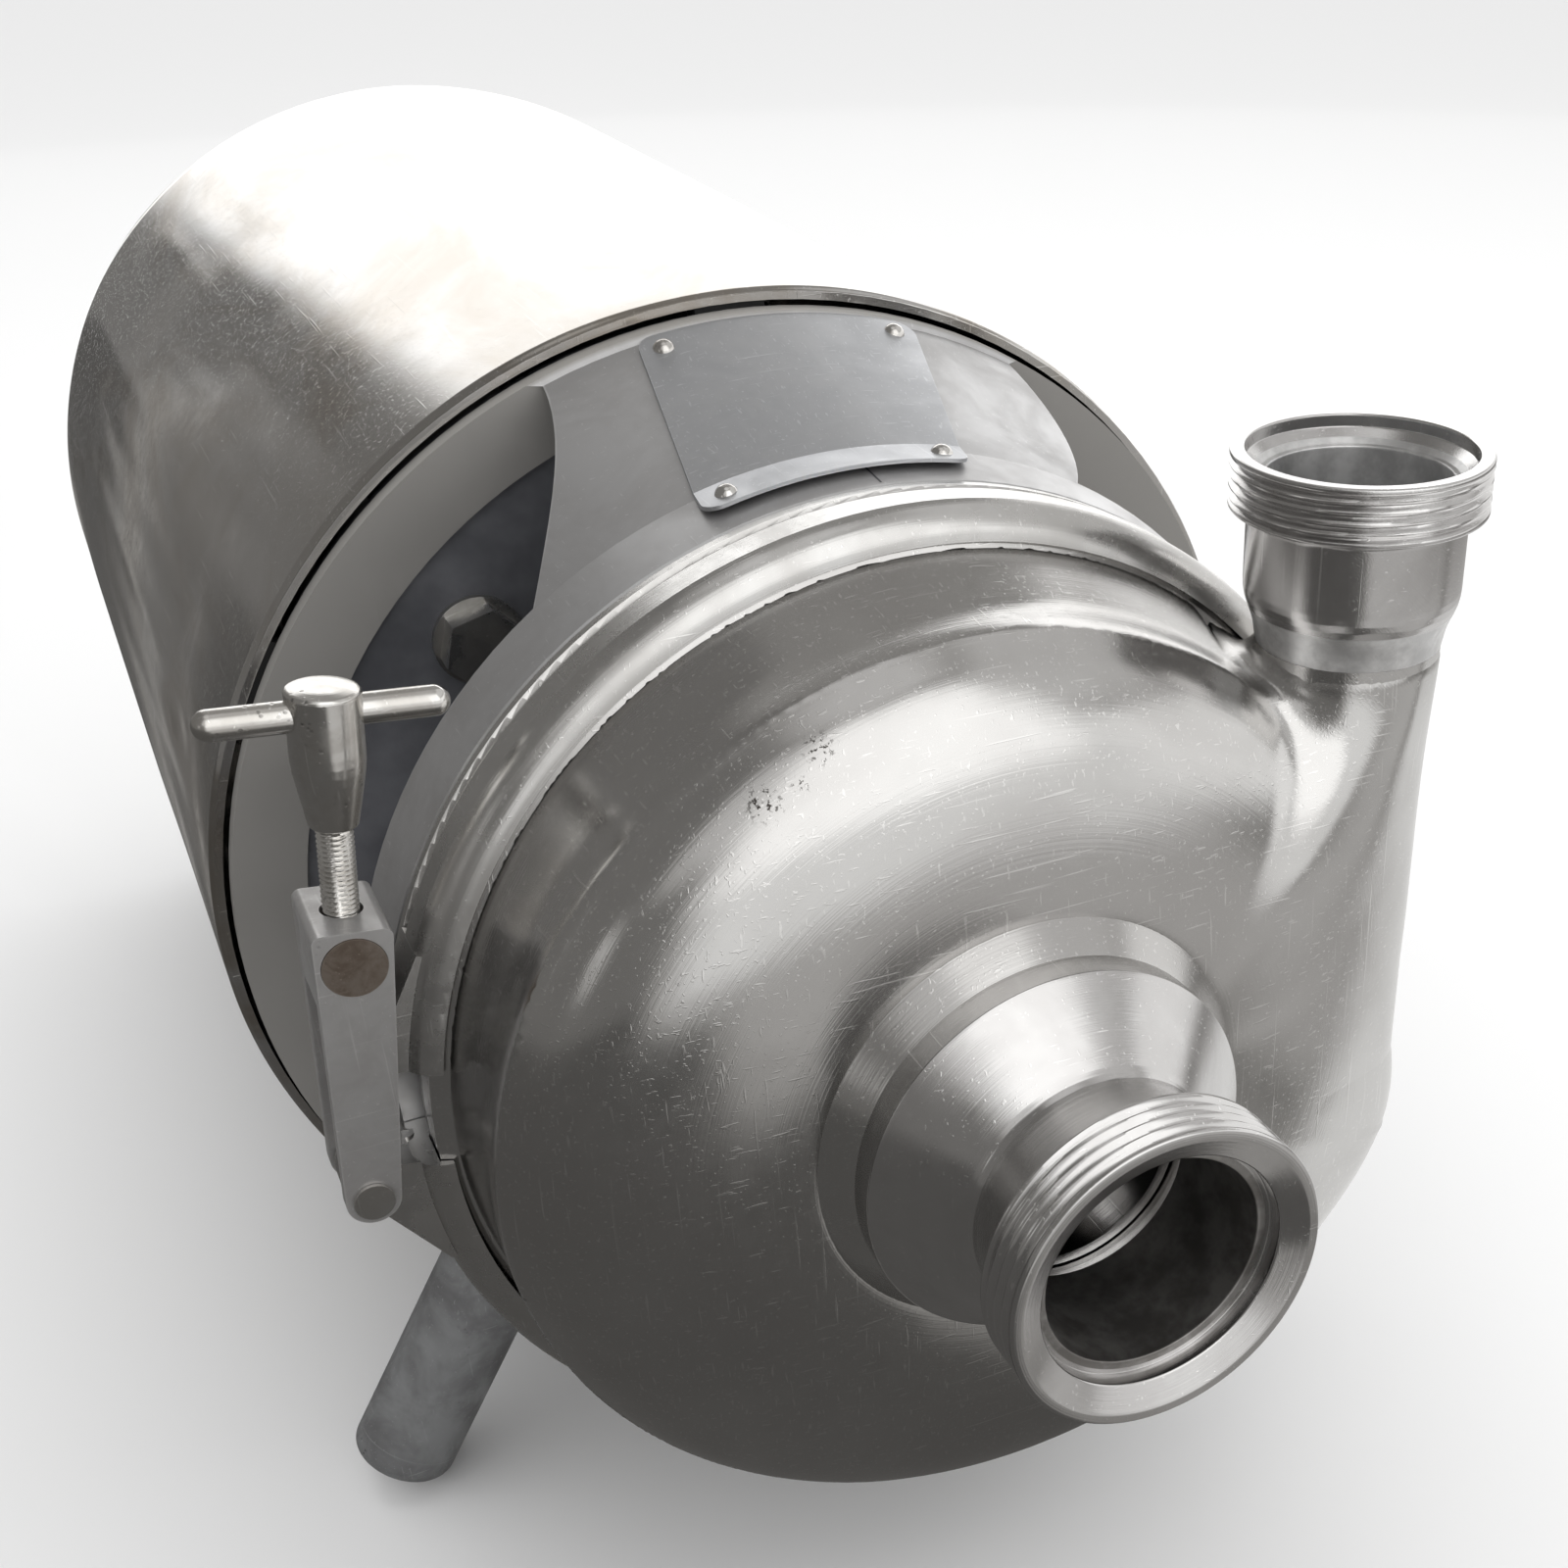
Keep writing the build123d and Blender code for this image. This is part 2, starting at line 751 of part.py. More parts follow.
def rotary_seal_ring():
    bore_d = stub_shaft_d + 2 * running_fit
    return tube(rotary_ring_d, bore_d, rotary_start, rotary_start + rotary_ring_length)


def stub_shaft():
    """Stepped shaft from the impeller nut to the slit clamp sleeve over the motor shaft."""
    nut_end = impeller_back_y - impeller_hub_length
    nose_y = nut_end - nut_bore_depth + stub_nose_gap
    shaft_r = stub_shaft_d / 2
    nose_r = stub_nose_d / 2
    thread_r = stub_thread_d / 2
    sleeve_r = coupling_d / 2
    end = coupling_end
    bore_r = motor_shaft_d / 2 + running_fit
    floor_y = coupling_start + coupling_floor
    body = turned([
        (0, nose_y), (thread_r - edge_break, nose_y), (thread_r, nose_y + edge_break), (thread_r, nut_end),
        (nose_r, nut_end), (nose_r, rotary_start), (shaft_r, rotary_start), (shaft_r, coupling_start),
        (sleeve_r - edge_break, coupling_start), (sleeve_r, coupling_start + edge_break), (sleeve_r, end),
        (bore_r, end), (bore_r, floor_y), (0, floor_y),
    ])
    slit_length = coupling_length - coupling_floor - coupling_slit_stop
    slit = Pos(sleeve_r, end - slit_length / 2, 0) * Box(coupling_d, slit_length, coupling_slit)
    return body - at_angle(slit, quarter_turn)


def coupling_ring_middle():
    """Middle of the clamp ring over the coupling sleeve."""
    return coupling_end - coupling_inset - coupling_ring_width / 2


def shaft_clamp():
    """Split ring that squeezes the sleeve onto the motor shaft."""
    middle = coupling_ring_middle()
    half = coupling_ring_width / 2
    ring = tube(coupling_ring_d, coupling_d + 2 * running_fit, middle - half, middle + half)
    slit = Pos(coupling_ring_d / 2, middle, 0) * Box(coupling_ring_d, coupling_ring_width * 2, coupling_slit)
    hole = Pos(coupling_screw_offset, middle, 0) * Cylinder(coupling_screw_d / 2, coupling_ring_d)
    head_room = Cylinder(coupling_head_d / 2 + sliding_fit, coupling_ring_d, align=on_base)
    pocket = Pos(coupling_screw_offset, middle, coupling_head_z) * head_room
    return ring - at_angle(slit + hole + pocket, quarter_turn)


def shaft_clamp_screw():
    """Socket screw across the slit of the coupling's clamp ring."""
    shank = Cylinder(coupling_screw_d / 2 - running_fit, coupling_screw_length, align=from_top)
    head = Cylinder(coupling_head_d / 2, coupling_screw_d, align=on_base)
    socket = extrude(RegularPolygon(coupling_screw_d * socket_width, 6), -coupling_screw_d / 2)
    socket = Pos(0, 0, coupling_screw_d) * socket
    screw = Pos(coupling_screw_offset, coupling_ring_middle(), coupling_head_z) * (head + shank - socket)
    return at_angle(screw, quarter_turn)


def drip_slinger():
    """Rubber disc with a sleeve that grips the shaft."""
    disc = tube(slinger_d, stub_shaft_d, slinger_y, slinger_y + slinger_thickness)
    sleeve_d = stub_shaft_d + 2 * slinger_hub_wall
    return disc + tube(sleeve_d, stub_shaft_d, slinger_y, slinger_end)


def lantern_profile():
    """Closed section of the lantern, from its clamped flange to the ring at the motor."""
    flange_r = flange_d / 2
    neck_r = lantern_neck_d / 2
    band_r = band_d / 2
    open_r = lantern_open_d / 2
    rear_bore = rear_ring_bore_d / 2
    bell_end = bell_y + bell_length
    return [
        (open_r, plate_back_y), (flange_r, plate_back_y), (flange_r, lantern_neck_y - flank_rise),
        (neck_r, lantern_neck_y), (neck_r, band_y), (band_r - edge_break, band_y),
        (band_r, band_y + edge_break), (band_rear_d / 2, bell_y), (bell_rear_d / 2, bell_end),
        (rear_ring_d / 2, rear_ring_y),
        (rear_ring_d / 2, motor_y), (rear_bore, motor_y), (rear_bore, rear_ring_y),
        (bell_rear_d / 2 - bell_wall, bell_end), (band_rear_d / 2 - band_wall, bell_y),
        (band_r - band_wall, band_y + band_wall), (neck_r - band_wall, band_y),
        (open_r, lantern_neck_y),
    ]


def bell_radius(y):
    """Outer radius of the lantern's bell at a station."""
    slope = (bell_rear_d - band_rear_d) / 2 / bell_length
    return band_rear_d / 2 + slope * (y - bell_y)


def window_cut(edge_angles):
    """Side window, its upper edge at angles up from the side, cut sideways through the bell."""
    front = bell_y + window_front_gap
    rear = rear_ring_y
    bottom = -window_bottom_z
    stations = (front, (front + rear) / 2, rear)
    upper = [(y, bell_radius(y) * sin(radians(angle))) for y, angle in zip(stations, edge_angles)]
    edges = [
        ThreePointArc(*upper), Line(upper[2], (rear, bottom)), Line((rear, bottom), (front, bottom)),
        Line((front, bottom), upper[0]),
    ]
    face = make_face(Curve() + edges)
    corner = face.vertices().sort_by(Axis.X)[0:2].sort_by(Axis.Y)[0:1]
    face = fillet(corner, window_corner_r)
    return extrude(Plane.YZ * face, shroud_d)


def lantern():
    bell = turned(lantern_profile())
    return bell - window_cut(window_right_angles) - mirror(window_cut(window_left_angles), Plane.YZ)


def plate_edge_radius(y):
    """Underside radius of the nameplate, level over the band and then up the bell."""
    return max(band_rear_d / 2 + plate_front_gap, bell_radius(y) + plate_rear_gap)


def plate_offset(y):
    """Sideways offset of the nameplate's middle, which is set askew on the bell."""
    return plate_shift * ((y - plate_start) / plate_length - 1 / 2)


def nameplate():
    """Thin plate bent over the band and the bell, with rounded corners."""
    bend = bell_y + edge_break
    stations = (plate_start, bend, plate_end)
    lower = [(plate_edge_radius(y), y) for y in stations]
    upper = [(radius + plate_thickness, y) for radius, y in lower]
    spread = plate_angle + 2 * degrees(plate_shift / plate_edge_radius(plate_start))
    sheet = at_angle(revolve(outline(lower + upper[::-1]), Axis.Y, spread), plate_center_angle + spread / 2)
    left = []
    right = []
    for y in (plate_start, plate_end):
        half = plate_edge_radius(y) * sin(radians(plate_angle / 2))
        left.append((plate_offset(y) - half, y))
        right.append((plate_offset(y) + half, y))
    blank = fillet(outline(left + right[::-1]).vertices(), plate_corner_r)
    return sheet & Rot(0, quarter_turn - plate_center_angle, 0) * extrude(blank, shroud_d)


def nameplate_rivets():
    rivets = []
    slope = degrees(atan2((bell_rear_d - band_rear_d) / 2, bell_length))
    ball_r = ((rivet_d / 2) ** 2 + rivet_height ** 2) / (2 * rivet_height)
    dome = Pos(0, 0, rivet_height - ball_r) * Sphere(ball_r)
    dome = dome & Pos(0, 0, rivet_height / 2) * Box(rivet_d * 2, rivet_d * 2, rivet_height)
    for y, tilt in ((plate_start + rivet_inset, 0.0), (plate_end - rivet_inset, slope)):
        top_r = plate_edge_radius(y) + plate_thickness
        half = top_r * sin(radians(plate_angle / 2)) - rivet_inset
        seat = Pos(0, y, top_r) * Rot(tilt, 0, 0) * dome
        for side in (-1, 1):
            turn = degrees((plate_offset(y) + side * half) / top_r)
            rivets.append(at_angle(seat, plate_center_angle - quarter_turn - turn))
    return Compound(rivets)


def clamp_profile():
    """Section of the clamp ring with a V groove over the casing and lantern flanges."""
    lip_r = clamp_lip_d / 2
    groove_r = flange_d / 2 + clamp_gap
    front_groove_y = flange_y + flank_rise - clamp_gap
    rear_groove_y = lantern_neck_y - flank_rise + clamp_gap
    rear_lip_r = lantern_neck_d / 2 + clamp_shoulder / 2
    rear_lip_y = lantern_neck_y - rear_flank_slope * (rear_lip_r - lantern_neck_d / 2) + clamp_gap
    outer_r = clamp_outer_d / 2
    bead_r = clamp_bead_d / 2
    cove_end = clamp_back_y - clamp_bead_width
    cove_start = cove_end - clamp_cove_width
    shoulder = (outer_r, clamp_front_y + clamp_shoulder)
    crown = (outer_r - clamp_bulge, clamp_front_y + clamp_bulge_rise)
    bulge = ThreePointArc((lip_r, clamp_front_y), crown, shoulder)
    cove = ThreePointArc((outer_r, cove_start), (bead_r - clamp_cove_depth, (cove_start + cove_end) / 2),
                         (bead_r, cove_end))
    rest = Polyline((bead_r, cove_end), (bead_r, clamp_back_y), (rear_lip_r, clamp_back_y),
                    (rear_lip_r, rear_lip_y), (groove_r, rear_groove_y), (groove_r, front_groove_y),
                    (lip_r, clamp_lip_y), (lip_r, clamp_front_y))
    return make_face(Curve() + [bulge, Line(shoulder, (outer_r, cove_start)), cove, rest])


def clamp_arc(start_angle, end_angle):
    """Stretch of the clamp ring between two angles from +X."""
    arc = end_angle - start_angle
    return at_angle(revolve(clamp_profile(), Axis.Y, arc), end_angle)


def plate_from(points, y_start, y_end):
    """Flat plate with an outline given in X and Z, between two stations."""
    face = Plane.XZ * outline(points)
    return Pos(0, y_end, 0) * extrude(face, y_end - y_start)


def knuckle(y_start, y_end, side):
    """Hinge barrel with the arm that joins it to the upper (+1) or lower (-1) half."""
    ring_r = clamp_outer_d / 2
    barrel_r = knuckle_d / 2
    inner_r = ring_r - knuckle_embed
    root = radians(knuckle_root_angle)
    tip = radians(clamp_split_angle)
    slant = radians(knuckle_slant)
    barrel = Pos(hinge_x, 0, 0) * along_y(knuckle_d, y_start, y_end)
    arm = plate_from([
        (inner_r * cos(tip), side * inner_r * sin(tip)), (ring_r * cos(tip), side * ring_r * sin(tip)),
        (hinge_x, 0), (hinge_x + barrel_r * cos(slant), side * barrel_r * sin(slant)),
        (ring_r * cos(root), side * ring_r * sin(root)), (inner_r * cos(root), side * inner_r * sin(root)),
    ], y_start, y_end)
    bore = Pos(hinge_x, 0, 0) * along_y(hinge_pin_d + 2 * running_fit, y_start - cut_over, y_end + cut_over)
    return barrel + arm - bore


def knuckle_stations():
    """Ends of the three hinge barrels along Y, with a running gap between them."""
    third = (clamp_back_y - clamp_front_y) / 3
    first = clamp_front_y + third
    second = clamp_back_y - third
    half_gap = free_gap / 2
    return [(clamp_front_y, first - half_gap), (first + half_gap, second - half_gap),
            (second + half_gap, clamp_back_y)]


def link_point(station, offset=0.0):
    """Point in X and Z at a station along the link's line and an offset to its right."""
    lean = radians(link_lean)
    return (pivot_x + station * sin(lean) + offset * cos(lean),
            pivot_z + station * cos(lean) - offset * sin(lean))


def lug_plate(points):
    """Lug of either half, centred under the link's slot."""
    return plate_from(points, clamp_mid_y - lug_thickness / 2, clamp_mid_y + lug_thickness / 2)


def clamp_upper():
    """Upper half of the ring with its two hinge barrels."""
    stations = knuckle_stations()
    half = clamp_arc(clamp_split_angle, clamp_upper_end)
    return half + knuckle(*stations[0], 1) + knuckle(*stations[2], 1)


def clamp_upper_lug():
    """Lug under the screw, coped to the ring's upper half."""
    ring_r = clamp_outer_d / 2
    inner_r = ring_r - lug_embed
    root_angle = clamp_upper_end - lug_root_angle
    end = radians(clamp_upper_end)
    root = radians(root_angle)
    top = tip_station - tip_length - lug_tip_gap
    reach = tip_d * lug_side
    lug = lug_plate([
        (inner_r * cos(end), inner_r * sin(end)), (inner_r * cos(root), inner_r * sin(root)),
        (ring_r * cos(root), ring_r * sin(root)), link_point(top, reach), link_point(top, -reach),
        link_point(top - lug_depth, -reach), (ring_r * cos(end), ring_r * sin(end)),
    ])
    return lug - clamp_arc(root_angle - lug_root_angle, clamp_upper_end + clamp_split_angle)


def hanging(shape):
    """Let a piece of the lower half hang open about the clamp hinge, as the loose clamp does."""
    return Pos(hinge_x, 0, 0) * Rot(0, -clamp_hang_angle, 0) * Pos(-hinge_x, 0, 0) * shape


def hanging_point(radius, angle):
    """Point of the hanging half in X and Z, from its radius and angle in the closed ring."""
    turn = radians(clamp_hang_angle)
    along = radius * cos(radians(angle)) - hinge_x
    up = radius * sin(radians(angle))
    return (hinge_x + along * cos(turn) - up * sin(turn), along * sin(turn) + up * cos(turn))


def clamp_lower():
    """Lower half of the ring with the middle hinge barrel."""
    half = clamp_arc(clamp_lower_start, full_turn - clamp_split_angle)
    return hanging(half + knuckle(*knuckle_stations()[1], -1))


def clamp_lower_lug():
    """Lug that carries the link, coped to the ring's lower half."""
    ring_r = clamp_outer_d / 2
    inner_r = ring_r - lug_embed
    root_angle = clamp_lower_start + lug_root_angle
    eye_r = pivot_pin_d / 2 + lug_eye_wall
    lug = lug_plate([
        hanging_point(inner_r, clamp_lower_start), (pivot_x, pivot_z + eye_r), (pivot_x - eye_r, pivot_z),
        (pivot_x, pivot_z - eye_r), hanging_point(ring_r, root_angle), hanging_point(inner_r, root_angle),
    ])
    lug += at_pivot(along_y(eye_r * 2, clamp_mid_y - lug_thickness / 2, clamp_mid_y + lug_thickness / 2))
    bore_d = pivot_pin_d + 2 * running_fit
    lug -= at_pivot(along_y(bore_d, clamp_mid_y - link_depth, clamp_mid_y + link_depth))
    return lug - hanging(clamp_arc(clamp_lower_start - clamp_split_angle, root_angle + lug_root_angle))


def clamp_hinge_pin():
    """Headed pin through the three hinge barrels."""
    start = clamp_front_y - free_gap
    end = clamp_back_y + free_gap
    head_d = hinge_pin_d + 2 * hinge_head_lip
    pin = along_y(hinge_pin_d, start, end) + along_y(head_d, start - hinge_pin_head, start)
    return Pos(hinge_x, 0, 0) * (pin + along_y(head_d, end, end + hinge_pin_head))


def at_pivot(shape):
    """Move a shape made about the Y axis to the link's pivot."""
    return Pos(pivot_x, 0, pivot_z) * shape


def clamp_link():
    """Bar with a solid head for the cross nut and two cheeks over the lugs."""
    front = clamp_mid_y - link_depth / 2
    back = clamp_mid_y + link_depth / 2
    top_half = link_top_width / 2
    low_half = link_bottom_width / 2
    body = plate_from([
        link_point(0, -low_half), link_point(0, low_half), link_point(link_top, top_half),
        link_point(link_top, -top_half),
    ], front, back)
    body += at_pivot(along_y(link_bottom_width, front, back))
    body = fillet(body.edges().filter_by(Axis.Y).sort_by(Axis.Z)[-2:], link_corner_r)
    body -= plate_from([
        link_point(-link_top_width, -link_top_width), link_point(-link_top_width, link_top_width),
        link_point(link_block_start, link_top_width), link_point(link_block_start, -link_top_width),
    ], clamp_mid_y - link_slot / 2, clamp_mid_y + link_slot / 2)
    nut_x, nut_z = link_point(nut_station)
    body -= Pos(nut_x, 0, nut_z) * along_y(barrel_nut_d + 2 * sliding_fit, front - cut_over, back + cut_over)
    body -= at_pivot(along_y(pivot_pin_d + 2 * running_fit, front - cut_over, back + cut_over))
    return body - on_screw(Cylinder(rod_hole_d / 2, link_top * 2))


def on_screw(shape, station=0.0):
    """Stand a shape made along +Z on the clamp screw's axis at a station from the pivot."""
    return Pos(pivot_x, clamp_mid_y, pivot_z) * Rot(0, link_lean, 0) * Pos(0, 0, station) * shape


def link_pivot_pin():
    """Riveted pin through the link's cheeks and the lower lug."""
    front = clamp_mid_y - link_depth / 2 - pivot_head_seat
    back = clamp_mid_y + link_depth / 2 + pivot_head_seat
    pin = along_y(pivot_pin_d, front, back) + along_y(pivot_head_d, front - pivot_head_height, front)
    return at_pivot(pin + along_y(pivot_head_d, back, back + pivot_head_height))


def barrel_nut():
    """Round cross nut in the link's head, threaded for the screw."""
    reach = link_depth / 2 + barrel_nut_proud
    nut_x, nut_z = link_point(nut_station)
    nut = Pos(nut_x, 0, nut_z) * along_y(barrel_nut_d, clamp_mid_y - reach, clamp_mid_y + reach)
    return nut - on_screw(Cylinder(screw_d / 2 + sliding_fit, link_top * 2))


def clamp_screw_tip():
    """Thrust tip that slides with the screw but doesn't turn."""
    start = tip_station - tip_length
    cone_length = tip_length * tip_cone_share
    cone = Cone(tip_d / 4, tip_d / 2, cone_length, align=on_base)
    body = Pos(0, 0, cone_length) * Cylinder(tip_d / 2, tip_length - cone_length, align=on_base)
    stem = Pos(0, 0, tip_length) * Cylinder(tip_stem_d / 2, tip_stem_length, align=on_base)
    return on_screw(cone + body + stem, start)


def clamp_screw():
    """Threaded rod with its tapered hub, bored for the tip's stem and for the cross bar."""
    rod_start = tip_station + sliding_fit
    rod = Pos(0, 0, rod_start) * Cylinder(screw_d / 2, hub_bottom_station - rod_start, align=on_base)
    taper = Cone(screw_hub_neck_d / 2, screw_hub_d / 2, hub_taper_length, align=on_base)
    taper = Pos(0, 0, hub_bottom_station) * taper
    top_start = hub_bottom_station + hub_taper_length
    top = Pos(0, 0, top_start) * Cylinder(screw_hub_d / 2, screw_hub_length, align=on_base)
    top = chamfer(top.edges().sort_by(Axis.Z)[-1], screw_hub_bevel)
    stem_hole = Cylinder(tip_stem_d / 2 + sliding_fit, tip_stem_length + sliding_fit, align=on_base)
    body = rod + taper + top - Pos(0, 0, rod_start) * stem_hole
    return on_screw(body) - cross_bar_shape(running_fit)


def cross_bar_shape(allowance):
    """Round bar with domed ends through the screw's hub, grown by an allowance."""
    station = hub_bottom_station + hub_taper_length + screw_hub_length - bar_drop
    radius = bar_d / 2 + allowance
    straight = bar_length - bar_d
    bar = Cylinder(radius, straight) + Pos(0, 0, straight / 2) * Sphere(radius)
    bar += Pos(0, 0, -straight / 2) * Sphere(radius)
    return on_screw(Rot(0, 0, bar_turn) * Rot(0, quarter_turn, 0) * bar, station)


def cross_bar():
    return cross_bar_shape(0.0)


def motor_flange():
    """Motor's front shield with its spigot in the lantern and a stepped face."""
    spigot_r = rear_ring_bore_d / 2 - motor_spigot_gap
    face_y = motor_y - motor_spigot_height
    step_r = motor_face_step_d / 2
    hub_r = motor_hub_d / 2
    seat_r = bearing_d / 2
    bore_r = motor_shaft_d / 2 + seal_bore_gap
    bearing_y = front_bearing_y
    register_r = frame_bore_d / 2 - register_gap
    register_y = frame_y + register_depth
    seat_wall_r = seat_r + bearing_seat_wall
    bolt = along_y(flange_bolt_d + 2 * running_fit, face_y - cut_over, frame_y + flange_bolt_d)
    bolt = Pos(flange_bolt_circle / 2, 0, 0) * bolt
    body = turned([
        (bore_r, face_y - motor_hub_step), (hub_r, face_y - motor_hub_step),
        (hub_r + motor_draft, face_y + motor_face_step), (step_r, face_y + motor_face_step),
        (step_r + motor_draft, face_y), (spigot_r, face_y), (spigot_r, motor_y),
        (motor_flange_d / 2, motor_y), (motor_flange_d / 2, frame_y), (register_r, frame_y),
        (register_r, register_y), (seat_wall_r, register_y), (seat_wall_r, bearing_y + bearing_width),
        (seat_r, bearing_y + bearing_width), (seat_r, bearing_y), (bore_r, bearing_y),
    ])
    for index in range(flange_bolts):
        body -= at_angle(bolt, flange_bolt_angle + index * full_turn / flange_bolts)
    return body


def flange_bolt_set():
    """Hexagon bolts with washers that hold the motor frame to its flange."""
    face_y = motor_y - motor_spigot_height
    pieces = []
    for index in range(flange_bolts):
        washer = tube(flange_washer_d, 0, face_y - flange_washer, face_y)
        head = Rot(90, 0, 0) * hexagon_head(flange_bolt_flats, flange_bolt_head)
        head = Pos(0, face_y - flange_washer, 0) * head
        shank = along_y(flange_bolt_d, face_y, frame_y)
        bolt = Pos(flange_bolt_circle / 2, 0, 0) * (washer + head + shank)
        pieces.append(at_angle(bolt, flange_bolt_angle + index * full_turn / flange_bolts))
    return Compound(pieces)


def lantern_ring_screws():
    """Screws from behind that hold the lantern's ring to the motor flange."""
    pieces = []
    for index in range(ring_screws):
        placed = Pos(ring_screw_r, frame_y, 0) * screw_head(ring_screw_d)
        pieces.append(at_angle(placed, (index + 1 / 2) * full_turn / ring_screws))
    return Compound(pieces)


def motor_frame():
    """Finned motor frame with plain saddles at both ends, open under the terminal box."""
    skin_d = frame_root_d - 2 * edge_break
    body = tube(frame_root_d, frame_bore_d, frame_y, shield_y)
    body += tube(motor_frame_d, skin_d, shield_y - frame_saddle_width, shield_y)
    body += tube(motor_frame_d, skin_d, frame_y, frame_y + front_saddle_width)
    height = (motor_frame_d - skin_d) / 2
    fin = Pos(skin_d / 2 + height / 2, (frame_y + shield_y) / 2, 0)
    fin = fin * Box(height, motor_frame_length - 2 * edge_break, frame_fin_thickness)
    for index in range(frame_fins):
        angle = (index + 1 / 2) * full_turn / frame_fins
        if abs(angle - quarter_turn) > terminal_fin_gap:
            body += at_angle(fin, angle)
    return body


def terminal_box():
    """Terminal box on the frame's crown, under the shroud."""
    start = frame_y + terminal_box_start
    middle = start + terminal_box_length / 2
    base_z = frame_root_d / 2 - terminal_embed
    lip = 2 * terminal_lid_lip
    box = Box(terminal_box_width, terminal_box_length, terminal_box_height, align=on_base)
    box = fillet(box.edges().filter_by(Axis.Z), terminal_corner_r)
    lid = Box(terminal_box_width + lip, terminal_box_length + lip, terminal_lid, align=on_base)
    lid = fillet(lid.edges().filter_by(Axis.Z), terminal_corner_r + terminal_lid_lip)
    solid = Pos(0, middle, base_z) * (box + Pos(0, 0, terminal_box_height) * lid)
    return solid - tube(frame_root_d, 0, start - lip, start + terminal_box_length + lip)


def stator_core():
    return tube(frame_bore_d, stator_bore_d, core_y, core_y + stator_length)


def rotor_core():
    """Laminated core with its cast end rings."""
    core = tube(stator_bore_d - 2 * rotor_air_gap, rotor_seat_d, core_y, core_y + stator_length)
    ring_d = stator_bore_d - 2 * rotor_ring_inset
    ring_bore_d = ring_d - 2 * rotor_ring_width
    ring_end = core_y + stator_length + rotor_ring_inset
    return core + tube(ring_d, ring_bore_d, core_y - rotor_ring_inset, ring_end)


def motor_shaft():
    """Motor shaft from the coupling sleeve through both bearings to the fan."""
    start = coupling_start + coupling_floor + edge_break
    shaft_r = motor_shaft_d / 2
    core_r = rotor_seat_d / 2
    fan_end = fan_y + fan_width
    front_shoulder = front_bearing_y + bearing_width
    return turned([
        (0, start), (shaft_r - edge_break, start), (shaft_r, start + edge_break), (shaft_r, front_shoulder),
        (core_r, front_shoulder), (core_r, rear_bearing_y), (shaft_r, rear_bearing_y), (shaft_r, fan_end),
        (0, fan_end),
    ])


def bearing(start):
    """Inner ring, outer ring and balls of a deep groove bearing."""
    end = start + bearing_width
    middle_r = (bearing_d + motor_shaft_d) / 4
    ball_r = (bearing_d - motor_shaft_d) / 4 - bearing_ring_wall + bearing_groove
    inner = tube(motor_shaft_d + 2 * bearing_ring_wall, motor_shaft_d + 2 * running_fit, start, end)
    outer = tube(bearing_d, bearing_d - 2 * bearing_ring_wall, start, end)
    groove = Pos(0, (start + end) / 2, 0) * Rot(90, 0, 0) * Torus(middle_r, ball_r + sliding_fit)
    pieces = [inner - groove, outer - groove]
    for index in range(bearing_balls):
        ball = Pos(middle_r, (start + end) / 2, 0) * Sphere(ball_r)
        pieces.append(at_angle(ball, index * full_turn / bearing_balls))
    return Compound(pieces)


def cover_stud_places(shape):
    """Copies of a shape made on the shaft axis, one at each stud of the rear cover."""
    places = []
    for index in range(cover_studs):
        placed = Pos(cover_stud_circle / 2, 0, 0) * shape
        places.append(at_angle(placed, (index + 1 / 2) * full_turn / cover_studs))
    return places


def rear_end_shield():
    """Rear shield of the motor, with the bearing seat turned into the frame."""
    seat_r = bearing_d / 2
    seat_wall_r = seat_r + bearing_seat_wall
    bore_r = motor_shaft_d / 2 + seal_bore_gap
    seat_end = rear_bearing_y + bearing_width
    end = shield_y + end_shield_thickness
    register_r = frame_bore_d / 2 - register_gap
    register_y = shield_y - register_depth
    shield = turned([
        (bore_r, seat_end), (seat_r, seat_end), (seat_r, rear_bearing_y), (seat_wall_r, rear_bearing_y),
        (seat_wall_r, register_y), (register_r, register_y), (register_r, shield_y),
        (motor_frame_d / 2, shield_y),
        (motor_frame_d / 2, shield_y + end_shield_thickness / 2), (seat_wall_r + bearing_seat_wall, end),
        (bore_r, end),
    ])
    for hole in cover_stud_places(along_y(cover_stud_d, shield_y - cut_over, end + cut_over)):
        shield -= hole
    return shield


def cooling_fan():
    """Radial fan with flat blades on the motor shaft's end."""
    end = fan_y + fan_width
    hub_r = fan_hub_d / 2
    reach = fan_d / 2 - hub_r
    body = tube(fan_hub_d, motor_shaft_d, fan_y, end) + tube(fan_d, motor_shaft_d, end - fan_disc, end)
    blade = Pos(hub_r + reach / 2 - edge_break, (fan_y + end) / 2, 0)
    blade = blade * Box(reach, fan_width, fan_blade_thickness)
    for index in range(fan_blades):
        body += at_angle(blade, index * full_turn / fan_blades)
    return body


def motor_shroud():
    body = tube(shroud_d, shroud_bore_r * 2, shroud_y, shroud_end)
    for side in (-1, 1):
        body -= leg_cylinder(leg_tube_d + 2 * leg_hole_gap, rear_leg_x, rear_leg_y(), side)
    return body


def shroud_pads():
    """Pads on the motor flange's rim that carry the shroud's front end."""
    start = frame_y - pad_length
    ring = tube(shroud_bore_r * 2, motor_flange_d, start, frame_y)
    pads = []
    for index in range(pad_count):
        block = Pos(shroud_bore_r, (start + frame_y) / 2, 0) * Box(pad_width, pad_length * 2, pad_width)
        pads.append(ring & at_angle(block, (index + 1 / 2) * full_turn / pad_count))
    return Compound(pads)


